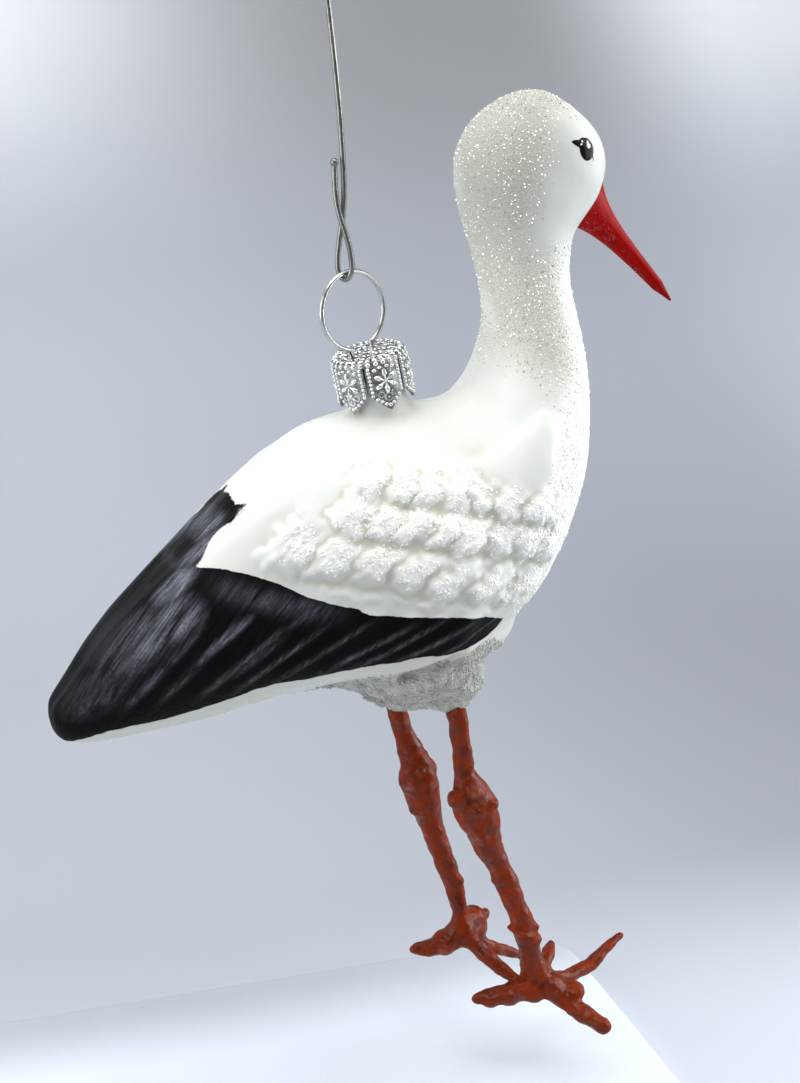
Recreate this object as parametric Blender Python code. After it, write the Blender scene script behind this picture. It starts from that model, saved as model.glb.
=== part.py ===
"""A blown-glass white stork, a tree ornament of about 14 cm, hung on its own swan-neck stand.

The glass figure is one smooth solid, drawn as a run of egg-shaped sections from the tail tip, through
the body and up the neck to the face, and parted with thin flat cuts into tail, trunk, neck and head.
The wings are thin shells laid over its flanks. A stamped metal crown cap with a wire ring sits on its
back, and a bent wire hanger carries it on the stand. The legs are wires coated with clay.

Sizes are in millimetres, in the stand's own frame: +X is where the bird faces, +Y is its left, +Z is
up, and the origin is the middle of the underside of the stand's base.
"""

import math

import bmesh
import bpy
import numpy as np
from mathutils import Matrix, Vector

MM = 0.001

# Gaps between neighbouring pieces.
PART_GAP = 0.2
SHELL_GAP = 0.15
WIRE_GAP = 0.12

# The sections of the glass figure, from tail to face. Each row is one section, cut from the back edge to
# the front or lower edge: back x, back z, front x, front z, half-width, where the widest place lies
# between them (0 back, 1 front), and how full the front half is (2 is an ellipse, more is boxier).
TAIL_SECTIONS = [
    (-37.6, 76.4, -36.9, 72.8, 2.3, 0.50, 2.0),
    (-34.7, 79.7, -32.0, 72.1, 5.2, 0.50, 2.0),
    (-28.3, 88.6, -22.6, 73.0, 8.6, 0.52, 2.0),
    (-18.3, 98.5, -12.6, 74.2, 11.4, 0.52, 2.0),
]
TRUNK_SECTIONS = [
    (-8.3, 108.2, -2.8, 75.4, 13.8, 0.52, 1.9),
    (1.1, 115.6, 6.2, 74.4, 15.3, 0.50, 1.8),
    (11.2, 118.0, 14.4, 69.2, 16.0, 0.46, 1.8),
    (19.0, 118.2, 22.6, 69.2, 16.2, 0.42, 2.0),
    (24.2, 118.8, 28.0, 73.8, 15.0, 0.42, 1.9),
    (27.5, 121.0, 38.6, 90.4, 15.4, 0.44, 1.9),
    (29.4, 125.4, 44.3, 105.8, 13.5, 0.48, 2.0),
]
NECK_SECTIONS = [
    (29.8, 131.4, 44.9, 121.6, 10.0, 0.50, 2.1),
    (28.1, 138.8, 42.2, 134.6, 8.1, 0.50, 2.0),
]
HEAD_SECTIONS = [
    (25.6, 146.4, 42.4, 141.6, 8.1, 0.50, 2.0),
    (25.0, 154.4, 43.8, 143.8, 8.7, 0.48, 2.0),
    (29.3, 160.6, 45.2, 145.6, 8.6, 0.46, 2.0),
    (37.2, 163.2, 46.2, 147.0, 7.5, 0.46, 2.0),
    (45.0, 158.2, 46.7, 149.2, 4.8, 0.50, 2.0),
    (47.2, 153.2, 47.3, 151.0, 1.5, 0.50, 2.0),
]
SECTIONS = TAIL_SECTIONS + TRUNK_SECTIONS + NECK_SECTIONS + HEAD_SECTIONS
SECTION_POINTS = 28

# Where the figure is parted, in section numbers.
TAIL_END = len(TAIL_SECTIONS) - 0.5
TRUNK_END = TAIL_END + len(TRUNK_SECTIONS)
NECK_END = TRUNK_END + len(NECK_SECTIONS) - 0.2
FIGURE_END = len(SECTIONS) - 1.0
RINGS_PER_SECTION = 2.6

# The wing shells, by section number: how far round the figure the upper and lower edges lie (0 back
# ridge, 1 belly line), and the thickness of the shell between them.
WING_STATIONS = [0.25, 1.5, 3.0, 5.0, 7.0, 9.0, 9.9]
WING_UPPER = [0.10, 0.08, 0.10, 0.18, 0.25, 0.31, 0.38]
WING_LOWER = [0.86, 0.87, 0.85, 0.74, 0.63, 0.56, 0.48]
WING_THICKNESS = [0.6, 0.9, 1.3, 1.6, 1.6, 1.2, 0.7]
WING_EDGE = 0.55
WING_RINGS = 20
WING_GAP = 0.3
WING_ROWS = 8

# Bill: a bent cone whose root is buried in the face and cut to it.
BILL_ROOT = (42.6, 147.6)
BILL_BEND = (49.4, 144.0)
BILL_TIP = (59.2, 131.2)
BILL_ROOT_RADIUS = 4.1
BILL_TIP_RADIUS = 0.45
BILL_WIDTH = 0.80

# Eyes: low enamel discs on the face, by section number and place round it.
EYE_SECTION = 16.05
EYE_ROUND = 0.51
EYE_HALF_LENGTH = 1.6
EYE_HALF_WIDTH = 1.05
EYE_DOME = 0.45
EYE_RIM = 0.2

# Crown cap on the back: a stamped cup with pointed leaves, its axis leaning towards the tail.
CAP_TOP = (11.4, 126.5)
CAP_LEAN = math.radians(-12)
CAP_RADIUS = 5.5
CAP_FLARE = 0.15
CAP_WALL = 0.5
CAP_HEIGHT = 7.9
CAP_LEAVES = 6
CAP_LEAF_TURN = math.radians(-86)
LEAF_SLIT = 0.35
LEAF_SLIT_TOP = 0.9
LEAF_POINT = 2.7
GLASS_NECK_RADIUS = 4.4
GLASS_NECK_TOP = 2.6

# Cap ring and wire hanger.
RING_WIRE = 0.39
RING_HALF_WIDTH = 5.5
RING_HALF_HEIGHT = 5.7
RING_CENTRE = 6.4
RING_SHIFT = -0.8
RING_TURN = math.radians(20)
RING_LEG_SPREAD = 1.95
RING_LEG_DEPTH = 1.6
HANGER_WIRE = 0.42
HANGER_TURN = math.radians(-45)

# Legs, from hip to ankle: x, y, z and radius along each.
RIGHT_LEG = [
    (23.0, -5.8, 74.0, 1.7),
    (24.2, -6.1, 66.0, 1.6),
    (24.8, -6.2, 60.8, 1.7),
    (26.0, -6.3, 56.8, 3.3),
    (26.8, -6.3, 54.0, 3.6),
    (27.8, -6.4, 51.2, 2.9),
    (28.8, -6.5, 47.6, 2.3),
    (30.6, -6.5, 44.2, 1.8),
    (32.1, -6.6, 40.4, 1.95),
    (33.8, -6.7, 36.2, 1.7),
    (35.1, -6.8, 32.2, 1.95),
    (36.0, -6.9, 27.4, 1.8),
]
LEFT_LEG = [
    (16.6, 5.8, 72.0, 1.7),
    (18.9, 6.1, 63.2, 1.65),
    (20.5, 6.2, 59.0, 2.2),
    (21.6, 6.3, 54.8, 3.2),
    (22.5, 6.4, 50.9, 2.8),
    (23.6, 6.5, 47.4, 2.1),
    (24.8, 6.6, 43.0, 1.85),
    (26.5, 6.7, 38.4, 1.8),
    (27.9, 6.8, 34.2, 1.6),
    (28.9, 6.9, 30.2, 1.45),
]

# Feet: the hub under the ankle, then each toe from the hub to its tip, with its root and tip radius.
RIGHT_HUB = (37.6, -6.9, 22.6)
RIGHT_TOES = {
    "outer": ((42.0, -11.0, 19.4), (46.9, -15.0, 16.6), 1.6, 1.3),
    "middle": ((46.4, -3.4, 20.8), (55.6, 1.0, 24.2), 1.3, 0.65),
    "inner": ((40.6, -2.6, 23.4), (43.2, 1.6, 24.4), 1.3, 0.7),
    "hind": ((31.4, -7.2, 21.4), (25.9, -7.2, 21.4), 1.8, 0.8),
}
LEFT_HUB = (29.6, 7.0, 25.0)
LEFT_TOES = {
    "outer": ((33.6, 10.6, 25.2), (36.4, 14.0, 24.8), 1.3, 0.8),
    "middle": ((36.4, 8.6, 20.6), (43.6, 10.0, 16.4), 1.2, 0.6),
    "inner": ((33.4, 3.0, 21.6), (37.4, -1.8, 18.8), 1.4, 0.8),
    "hind": ((24.6, 7.0, 23.6), (20.2, 7.0, 24.0), 1.8, 0.6),
}
HUB_RADIUS = 2.5
LEG_RINGS = 22

# Display stand: a plate and a swan-neck rod that carries the hanger's crook.
BASE_LENGTH = 118.0
BASE_WIDTH = 72.0
BASE_THICKNESS = 6.0
BASE_CORNER = 10.0
BASE_BEVEL = 1.2
ROD_RADIUS = 2.0
ROD_X = -50.0
ROD_TOP = 187.0
ROD_BEND = 18.0
ROD_OVERHANG = 7.0
COLLAR_RADIUS = 5.5
COLLAR_HEIGHT = 3.0


# ---------------------------------------------------------------------------------------------------------
# Helpers


def clear_scene():
    for obj in list(bpy.data.objects):
        bpy.data.objects.remove(obj, do_unlink=True)


def make_material(name, colour, roughness, metallic=0.0):
    material = bpy.data.materials.new(name)
    material.use_nodes = True
    shader = material.node_tree.nodes["Principled BSDF"]
    shader.inputs["Base Color"].default_value = (*colour, 1.0)
    shader.inputs["Roughness"].default_value = roughness
    shader.inputs["Metallic"].default_value = metallic
    return material


def add_object(name, data, material=None):
    obj = bpy.data.objects.new(name, data)
    bpy.context.scene.collection.objects.link(obj)
    if material:
        data.materials.append(material)
    return obj


def add_mesh(name, bm, material=None):
    """A smooth-shaded object from a bmesh whose faces are turned to point outwards."""
    bmesh.ops.recalc_face_normals(bm, faces=bm.faces)
    mesh = bpy.data.meshes.new(name)
    bm.to_mesh(mesh)
    bm.free()
    mesh.shade_smooth()
    mesh.set_sharp_from_angle(angle=math.radians(35))
    return add_object(name, mesh, material)


def loft(name, rings, material=None):
    """A closed solid through rings of points given in millimetres, with a flat face at each end."""
    bm = bmesh.new()
    loops = []
    for ring in rings:
        verts = [bm.verts.new(Vector(point) * MM) for point in ring]
        loops.append(verts)
    for lower, upper in zip(loops, loops[1:]):
        count = len(lower)
        for i in range(count):
            j = (i + 1) % count
            bm.faces.new((lower[i], lower[j], upper[j], upper[i]))
    bm.faces.new(loops[0][::-1])
    bm.faces.new(loops[-1])
    return add_mesh(name, bm, material)


def smooth_value(values, at):
    """Reads a list of evenly spaced values, or of tuples, at a fractional index, on one smooth curve."""
    rows = np.asarray(values, float)
    last = len(rows) - 1
    at = min(max(at, 0.0), float(last))
    i = min(int(at), last - 1)
    t = at - i
    before = rows[max(i - 1, 0)]
    start, end = rows[i], rows[i + 1]
    after = rows[min(i + 2, last)]
    slope_in = (end - before) / 2 if i else end - start
    slope_out = (after - start) / 2 if i + 2 <= last else end - start
    return (
        (2 * t**3 - 3 * t**2 + 1) * start
        + (t**3 - 2 * t**2 + t) * slope_in
        + (3 * t**2 - 2 * t**3) * end
        + (t**3 - t**2) * slope_out
    )


def smooth_path(points, steps):
    """Points along one smooth curve through the given ones."""
    last = len(points) - 1
    return [smooth_value(points, last * k / steps) for k in range(steps + 1)]


def tube(name, points, radius, material=None, sides_setting=2):
    """A round bar along points, (x, y, z) or (x, y, z, radius) in millimetres, as a mesh with flat ends."""
    curve = bpy.data.curves.new(name, "CURVE")
    curve.dimensions = "3D"
    curve.bevel_depth = MM
    curve.bevel_resolution = sides_setting
    curve.use_fill_caps = True
    spline = curve.splines.new("POLY")
    spline.points.add(len(points) - 1)
    for target, point in zip(spline.points, points):
        target.co = (*(Vector(point[:3]) * MM), 1.0)
        target.radius = point[3] if len(point) > 3 else radius
    guide = add_object(name + "_guide", curve)
    bpy.context.view_layer.update()
    mesh = bpy.data.meshes.new_from_object(guide.evaluated_get(bpy.context.evaluated_depsgraph_get()))
    bpy.data.objects.remove(guide, do_unlink=True)
    bm = bmesh.new()
    bm.from_mesh(mesh)
    bpy.data.meshes.remove(mesh)
    bmesh.ops.remove_doubles(bm, verts=bm.verts, dist=0.002 * MM)
    return add_mesh(name, bm, material)


def hide_cutter(obj):
    obj.hide_render = True
    obj.display_type = "WIRE"


def boolean(obj, operation, other):
    hide_cutter(other)
    modifier = obj.modifiers.new(f"{operation.lower()} {other.name}", "BOOLEAN")
    modifier.operation = operation
    modifier.object = other


# ---------------------------------------------------------------------------------------------------------
# The glass figure


def section_frame(station):
    """Back point, vector from back to front, half-width, widest place and fullness of one section."""
    back_x, back_z, front_x, front_z, width, widest, fullness = smooth_value(SECTIONS, station)
    back = Vector((back_x, 0, back_z))
    front = Vector((front_x, 0, front_z))
    return back, front - back, width, widest, fullness


def skin_point(station, around):
    """A point on the figure: around runs from 0 at the back edge to 1 at the front, and on to 2."""
    back, across, width, widest, fullness = section_frame(station)
    angle = math.pi * around
    lean, side = math.cos(angle), math.sin(angle)
    power = 1.0 if lean > 0 else 2 / fullness
    reach = widest if lean > 0 else 1 - widest
    along = widest - math.copysign(abs(lean) ** power, lean) * reach
    sideways = math.copysign(abs(side) ** power, side)
    return back + across * along + Vector((0, -width * sideways, 0))


def skin_normal(station, around):
    step = 0.01
    ahead = skin_point(min(station + step, FIGURE_END), around)
    behind = skin_point(max(station - step, 0.0), around)
    turn = skin_point(station, around + step) - skin_point(station, around - step)
    return turn.cross(ahead - behind).normalized()


def skin_ring(station, offset=0.0):
    ring = []
    for k in range(SECTION_POINTS):
        around = 2 * k / SECTION_POINTS
        point = skin_point(station, around)
        if offset:
            point += skin_normal(station, around) * offset
        ring.append(point)
    return ring


def shifted_ring(station, shift):
    """A section moved along its own plane's normal, for one side of a cut."""
    across = section_frame(station)[1]
    ahead = Vector((-across.z, 0, across.x)).normalized()
    middle = skin_point(station, 0.0) + across / 2
    later = skin_point(min(station + 0.1, FIGURE_END), 0.0) + section_frame(min(station + 0.1, FIGURE_END))[1] / 2
    if ahead.dot(later - middle) < 0:
        ahead = -ahead
    return [point + ahead * shift for point in skin_ring(station)]


def figure_piece(name, start, end, material):
    """The figure from one cut to the next."""
    steps = max(2, round((end - start) * RINGS_PER_SECTION))
    stations = [start + (end - start) * k / steps for k in range(steps + 1)]
    rings = [skin_ring(station) for station in stations]
    if start > 0:
        rings[0] = shifted_ring(start, PART_GAP / 2)
    if end < FIGURE_END:
        rings[-1] = shifted_ring(end, -PART_GAP / 2)
    return loft(name, rings, material)


def clearance_copy(name, start, end):
    """A slightly larger copy of a stretch of the figure, which keeps its neighbours off it."""
    steps = round((end - start) * RINGS_PER_SECTION)
    stations = [start + (end - start) * k / steps for k in range(steps + 1)]
    return loft(name, [skin_ring(station, SHELL_GAP) for station in stations])


def make_glass_neck(trunk):
    """The short open neck that the cap clips over, grown from the back."""
    axis = cap_frame()
    bm = bmesh.new()
    length = CAP_HEIGHT + 4.0
    bmesh.ops.create_cone(
        bm,
        segments=24,
        radius1=GLASS_NECK_RADIUS * MM,
        radius2=GLASS_NECK_RADIUS * MM,
        depth=length * MM,
        cap_ends=True,
        matrix=axis @ Matrix.Translation((0, 0, -(GLASS_NECK_TOP + length / 2) * MM)),
    )
    neck = add_mesh("glass_neck_stub", bm)
    boolean(trunk, "UNION", neck)


def make_figure(glass):
    pieces = {
        "tail": figure_piece("tail", 0.0, TAIL_END, glass),
        "trunk": figure_piece("trunk", TAIL_END, TRUNK_END, glass),
        "neck": figure_piece("neck", TRUNK_END, NECK_END, glass),
        "head": figure_piece("head", NECK_END, FIGURE_END, glass),
    }
    make_glass_neck(pieces["trunk"])
    return pieces


def wing_value(values, station):
    return float(np.interp(station, WING_STATIONS, values))


def make_wing(name, side, material):
    """A shell over one flank: side is 1 for the bird's right and -1 for its left."""
    rings = []
    start, end = WING_STATIONS[0], WING_STATIONS[-1]
    for k in range(WING_RINGS + 1):
        station = start + (end - start) * k / WING_RINGS
        upper, lower = wing_value(WING_UPPER, station), wing_value(WING_LOWER, station)
        thickness = wing_value(WING_THICKNESS, station)
        inner, outer = [], []
        for row in range(WING_ROWS + 1):
            t = row / WING_ROWS
            around = (upper + (lower - upper) * t) * side
            crown = WING_EDGE + (thickness - WING_EDGE) * math.sin(math.pi * t) ** 0.7
            point, normal = skin_point(station, around), skin_normal(station, around)
            inner.append(point + normal * WING_GAP)
            outer.append(point + normal * (WING_GAP + crown))
        rings.append(inner + outer[::-1])
    return loft(name, rings, material)


def make_eye(name, side, material):
    """A low disc that follows the face."""
    sides, steps = 16, 3
    centre = skin_point(EYE_SECTION, EYE_ROUND * side)
    along = (skin_point(EYE_SECTION + 0.1, EYE_ROUND * side) - centre).length / 0.1
    across = (skin_point(EYE_SECTION, (EYE_ROUND + 0.02) * side) - centre).length / 0.02
    rings = []
    for lift, order in ((0.0, range(1, steps + 1)), (EYE_RIM, range(steps, 0, -1))):
        for step in order:
            reach = step / steps
            ring = []
            for k in range(sides):
                turn = 2 * math.pi * k / sides
                station = EYE_SECTION + reach * EYE_HALF_WIDTH * math.cos(turn) / along
                around = (EYE_ROUND + reach * EYE_HALF_LENGTH * math.sin(turn) / across) * side
                dome = lift + (EYE_DOME * (1 - reach**2) if lift else 0.0)
                ring.append(skin_point(station, around) + skin_normal(station, around) * (SHELL_GAP + dome))
            rings.append(ring)
    return loft(name, rings, material)


def make_bill(material, head_clearance):
    rings = []
    steps, sides = 12, 12
    root, bend, tip = (Vector((x, 0, z)) for x, z in (BILL_ROOT, BILL_BEND, BILL_TIP))
    for k in range(steps + 1):
        t = k / steps
        centre = root * (1 - t) ** 2 + bend * 2 * t * (1 - t) + tip * t**2
        ahead = ((bend - root) * (1 - t) + (tip - bend) * t).normalized()
        up = Vector((-ahead.z, 0, ahead.x))
        radius = BILL_TIP_RADIUS + (BILL_ROOT_RADIUS - BILL_TIP_RADIUS) * (1 - t) ** 0.85
        ring = []
        for i in range(sides):
            turn = 2 * math.pi * i / sides
            ring.append(centre + up * radius * math.cos(turn)
                        + Vector((0, radius * BILL_WIDTH * math.sin(turn), 0)))
        rings.append(ring)
    bill = loft("bill", rings, material)
    boolean(bill, "DIFFERENCE", head_clearance)
    return bill


# ---------------------------------------------------------------------------------------------------------
# Cap, ring and hanger


def cap_frame():
    """The cap's own frame: its top centre at the origin, its axis along +Z."""
    place = Matrix.Translation(Vector((CAP_TOP[0], 0, CAP_TOP[1])) * MM)
    return place @ Matrix.Rotation(CAP_LEAN, 4, "Y")


def make_cap(material, trunk_clearance):
    """A cup turned round its axis, open below, its skirt cut into pointed leaves."""
    profile = [
        (0.0, 0.0),
        (CAP_RADIUS - 0.5, 0.0),
        (CAP_RADIUS, -0.5),
        (CAP_RADIUS + CAP_FLARE, -CAP_HEIGHT),
        (CAP_RADIUS + CAP_FLARE - CAP_WALL, -CAP_HEIGHT),
        (CAP_RADIUS - CAP_WALL, -0.9),
        (0.0, -0.6),
    ]
    bm = bmesh.new()
    verts = [bm.verts.new((x * MM, 0, z * MM)) for x, z in profile]
    for first, second in zip(verts, verts[1:]):
        bm.edges.new((first, second))
    bmesh.ops.spin(bm, geom=bm.verts[:] + bm.edges[:], axis=(0, 0, 1), angle=2 * math.pi, steps=36,
                   use_merge=True)
    bmesh.ops.remove_doubles(bm, verts=bm.verts, dist=0.01 * MM)
    bm.transform(cap_frame())
    cap = add_mesh("cap", bm, material)
    for leaf in range(CAP_LEAVES):
        boolean(cap, "DIFFERENCE", make_leaf_notch(leaf))
    for side in (-1, 1):
        boolean(cap, "DIFFERENCE", make_ring_hole(side))
    boolean(cap, "DIFFERENCE", trunk_clearance)
    return cap


def make_leaf_notch(leaf):
    """The slit and the V between two leaves."""
    half_pitch = (CAP_RADIUS + CAP_FLARE) * math.tan(math.pi / CAP_LEAVES) - 0.35
    outline = [
        (-LEAF_SLIT / 2, -LEAF_SLIT_TOP),
        (LEAF_SLIT / 2, -LEAF_SLIT_TOP),
        (LEAF_SLIT / 2, LEAF_POINT - CAP_HEIGHT),
        (half_pitch, -CAP_HEIGHT),
        (half_pitch, -CAP_HEIGHT - 1.0),
        (-half_pitch, -CAP_HEIGHT - 1.0),
        (-half_pitch, -CAP_HEIGHT),
        (-LEAF_SLIT / 2, LEAF_POINT - CAP_HEIGHT),
    ]
    bm = bmesh.new()
    near, far = CAP_RADIUS - 2.4, CAP_RADIUS + 2.0
    face = bm.faces.new([bm.verts.new((near * MM, y * MM, z * MM)) for y, z in outline])
    grown = bmesh.ops.extrude_face_region(bm, geom=[face])
    moved = [item for item in grown["geom"] if isinstance(item, bmesh.types.BMVert)]
    bmesh.ops.translate(bm, verts=moved, vec=((far - near) * MM, 0, 0))
    turn = CAP_LEAF_TURN + 2 * math.pi * (leaf + 0.5) / CAP_LEAVES
    bm.transform(cap_frame() @ Matrix.Rotation(turn, 4, "Z"))
    return add_mesh(f"leaf_notch_{leaf + 1}", bm)


def make_ring_hole(side):
    place = ring_frame() @ Matrix.Translation((side * RING_LEG_SPREAD * MM, 0, 0))
    bm = bmesh.new()
    radius = (RING_WIRE + WIRE_GAP) * MM
    bmesh.ops.create_cone(bm, segments=12, radius1=radius, radius2=radius, depth=3 * MM, cap_ends=True,
                          matrix=place)
    return add_mesh(f"ring_hole_{'left' if side < 0 else 'right'}", bm)


def ring_frame():
    turned = Matrix.Rotation(RING_TURN, 4, "Z")
    return cap_frame() @ Matrix.Translation((RING_SHIFT * MM, 0, 0)) @ turned


def ring_top():
    """Where the hanger's hook carries the ring: the middle of the wire at the ring's highest point."""
    return (ring_frame() @ Vector((0, 0, (RING_CENTRE + RING_HALF_HEIGHT) * MM))) / MM


def make_ring(material):
    """An oval of wire, open below, whose two legs pass through the top of the cap."""
    gap = math.asin(RING_LEG_SPREAD / RING_HALF_WIDTH)
    steps = 22
    points = [(-RING_LEG_SPREAD, 0, -RING_LEG_DEPTH)]
    for k in range(steps + 1):
        turn = gap + (2 * math.pi - 2 * gap) * k / steps
        points.append((-RING_HALF_WIDTH * math.sin(turn), 0,
                       RING_CENTRE - RING_HALF_HEIGHT * math.cos(turn)))
    points.append((RING_LEG_SPREAD, 0, -RING_LEG_DEPTH))
    frame = ring_frame()
    placed = [(frame @ (Vector(point) * MM)) / MM for point in points]
    return tube("cap_ring", placed, RING_WIRE, material)


def make_hanger(material):
    """One wire: a bead, a strand that crosses the other, the hook under the ring, up to the crook."""
    hook_low = ring_top() - Vector((0, 0, RING_WIRE + WIRE_GAP + HANGER_WIRE))
    across = Vector((math.cos(HANGER_TURN), math.sin(HANGER_TURN), 0))
    forward = Vector((math.sin(HANGER_TURN), -math.cos(HANGER_TURN), 0))

    def at(along, toward, height):
        return hook_low + across * along + forward * toward + Vector((0, 0, height))

    crook = ROD_RADIUS + HANGER_WIRE + WIRE_GAP
    route = [
        at(-1.9, 0.45, 17.3),
        at(-1.35, 0.5, 12.3),
        at(-0.5, 0.5, 9.3),
        at(0.7, 0.25, 5.5),
        at(1.15, 0.0, 2.3),
        at(0.8, 0.0, 0.6),
        at(0.0, 0.0, 0.0),
        at(-0.8, 0.0, 0.6),
        at(-1.15, 0.0, 2.3),
        at(-0.95, -0.25, 5.5),
        at(-0.4, -0.45, 9.7),
        at(-0.3, -0.45, 14.1),
        at(-0.7, -0.4, 21.7),
        at(-1.6, -0.2, 31.7),
        at(-2.6, 0.0, 40.7),
    ]
    points = smooth_path(route, 34)
    for k in range(9):
        turn = math.pi * k / 8
        points.append(Vector((hook_low.x, crook * math.cos(turn), ROD_TOP + crook * math.sin(turn))))
    points.append(Vector((hook_low.x, -crook - 0.4, ROD_TOP - 4.0)))
    bead = Vector(points[0])
    hanger = tube("hanger", points, HANGER_WIRE, material, sides_setting=1)
    bm = bmesh.new()
    bmesh.ops.create_icosphere(bm, subdivisions=2, radius=0.62 * MM, matrix=Matrix.Translation(bead * MM))
    boolean(hanger, "UNION", add_mesh("hanger_bead", bm))
    return hanger


# ---------------------------------------------------------------------------------------------------------
# Legs and feet


def make_leg(name, stations, material, trunk_clearance):
    leg = tube(name, smooth_path(stations, LEG_RINGS), 1.0, material, sides_setting=3)
    boolean(leg, "DIFFERENCE", trunk_clearance)
    return leg


def make_foot(name, hub, leg_stations, toes, material):
    """A lump of clay under the ankle with four toes grown from it. Its top face is square to the leg."""
    before, ankle = smooth_path(leg_stations, LEG_RINGS)[-2:]
    down = (Vector(ankle[:3]) - Vector(before[:3])).normalized()
    start = Vector(ankle[:3]) + down * PART_GAP
    hub = Vector(hub)
    below = hub + Vector((0, 0, -HUB_RADIUS * 0.7))
    neck = [(*start, ankle[3]), (*(start + down * 0.5), ankle[3])]
    lump = smooth_path([neck[1], (*hub, HUB_RADIUS), (*below, HUB_RADIUS * 0.55)], 6)
    foot = tube(name, neck[:1] + lump, 1.0, material)
    for toe, (knuckle, tip, root_radius, tip_radius) in toes.items():
        knuckle, tip = Vector(knuckle), Vector(tip)
        ahead = (tip - knuckle).normalized()
        line = [
            (*hub, root_radius),
            (*knuckle, root_radius),
            (*(knuckle * 0.35 + tip * 0.65), root_radius * 0.4 + tip_radius * 0.6),
            (*(tip - ahead * tip_radius * 0.6), tip_radius),
            (*tip, tip_radius * 0.5),
        ]
        boolean(foot, "UNION", tube(f"{name}_{toe}_toe", smooth_path(line, 6), 1.0))
    return foot


# ---------------------------------------------------------------------------------------------------------
# Display stand


def make_base(material):
    bm = bmesh.new()
    bmesh.ops.create_cube(bm, size=1.0)
    bmesh.ops.scale(bm, vec=Vector((BASE_LENGTH, BASE_WIDTH, BASE_THICKNESS)) * MM, verts=bm.verts)
    bmesh.ops.translate(bm, vec=(0, 0, BASE_THICKNESS / 2 * MM), verts=bm.verts)
    uprights = [edge for edge in bm.edges if abs(edge.verts[0].co.z - edge.verts[1].co.z) > MM]
    bmesh.ops.bevel(bm, geom=uprights, offset=BASE_CORNER * MM, segments=6, profile=0.5,
                    affect="EDGES")
    rims = [edge for edge in bm.edges
            if min(vert.co.z for vert in edge.verts) > (BASE_THICKNESS - 0.01) * MM]
    bmesh.ops.bevel(bm, geom=rims, offset=BASE_BEVEL * MM, segments=2, profile=0.5, affect="EDGES")
    return add_mesh("stand_base", bm, material)


def make_rod(material):
    """Up from its collar, over in a round bend and along to an upturned tip."""
    foot = BASE_THICKNESS + PART_GAP
    centre_x, centre_z = ROD_X + ROD_BEND, ROD_TOP - ROD_BEND
    points = [
        (ROD_X, 0, foot, COLLAR_RADIUS),
        (ROD_X, 0, foot + COLLAR_HEIGHT * 0.8, COLLAR_RADIUS),
        (ROD_X, 0, foot + COLLAR_HEIGHT, COLLAR_RADIUS * 0.85),
        (ROD_X, 0, foot + COLLAR_HEIGHT + 0.05, ROD_RADIUS),
        (ROD_X, 0, (foot + centre_z) / 2, ROD_RADIUS),
    ]
    for k in range(13):
        turn = math.pi / 2 * k / 12
        points.append((centre_x - ROD_BEND * math.cos(turn), 0, centre_z + ROD_BEND * math.sin(turn),
                       ROD_RADIUS))
    hang_x = ring_top().x
    tip_x = hang_x + ROD_OVERHANG
    lift = 5.0
    points.append((hang_x, 0, ROD_TOP, ROD_RADIUS))
    for k in range(7):
        turn = math.pi / 3 * k / 6
        points.append((tip_x - lift + lift * math.sin(turn), 0, ROD_TOP + lift * (1 - math.cos(turn)),
                       ROD_RADIUS))
    return tube("stand_rod", points, ROD_RADIUS, material)


def main():
    clear_scene()
    glass = make_material("white_glass", (0.86, 0.87, 0.84), 0.25)
    wing_paint = make_material("black_paint", (0.03, 0.03, 0.035), 0.4)
    eye_enamel = make_material("eye_enamel", (0.008, 0.008, 0.009), 0.15)
    bill_paint = make_material("red_paint", (0.62, 0.03, 0.02), 0.2)
    stamped_metal = make_material("stamped_cap_metal", (0.8, 0.8, 0.8), 0.25, 1.0)
    wire_metal = make_material("wire_metal", (0.6, 0.6, 0.58), 0.3, 1.0)
    clay = make_material("red_clay", (0.4, 0.06, 0.025), 0.45)
    base_paint = make_material("pale_base_paint", (0.78, 0.77, 0.74), 0.5)
    rod_steel = make_material("stand_rod_steel", (0.6, 0.6, 0.6), 0.3, 1.0)

    make_figure(glass)
    trunk_clearance = clearance_copy("trunk_clearance", TAIL_END, TRUNK_END)
    head_clearance = clearance_copy("head_clearance", NECK_END, FIGURE_END)
    for name, side in (("wing_right", 1), ("wing_left", -1)):
        make_wing(name, side, wing_paint)
    for name, side in (("eye_right", 1), ("eye_left", -1)):
        make_eye(name, side, eye_enamel)
    make_bill(bill_paint, head_clearance)

    make_cap(stamped_metal, trunk_clearance)
    make_ring(wire_metal)
    make_hanger(wire_metal)

    for side, stations, hub, toes in (
        ("right", RIGHT_LEG, RIGHT_HUB, RIGHT_TOES),
        ("left", LEFT_LEG, LEFT_HUB, LEFT_TOES),
    ):
        make_leg(f"leg_{side}", stations, clay, trunk_clearance)
        make_foot(f"foot_{side}", hub, stations, toes, clay)

    make_base(base_paint)
    make_rod(rod_steel)


main()
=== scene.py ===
"""A blown-glass white stork on its swan-neck stand: the finished look of every piece.

Sizes in the tables below are in millimetres, in the stand's own frame: +X is where the bird faces,
+Y is its left and +Z is up.
"""

import math

import bpy
import numpy as np
from bpy.props import FloatProperty, FloatVectorProperty, IntProperty, PointerProperty
from mathutils import Euler, Matrix, Vector
from mathutils.bvhtree import BVHTree


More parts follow.
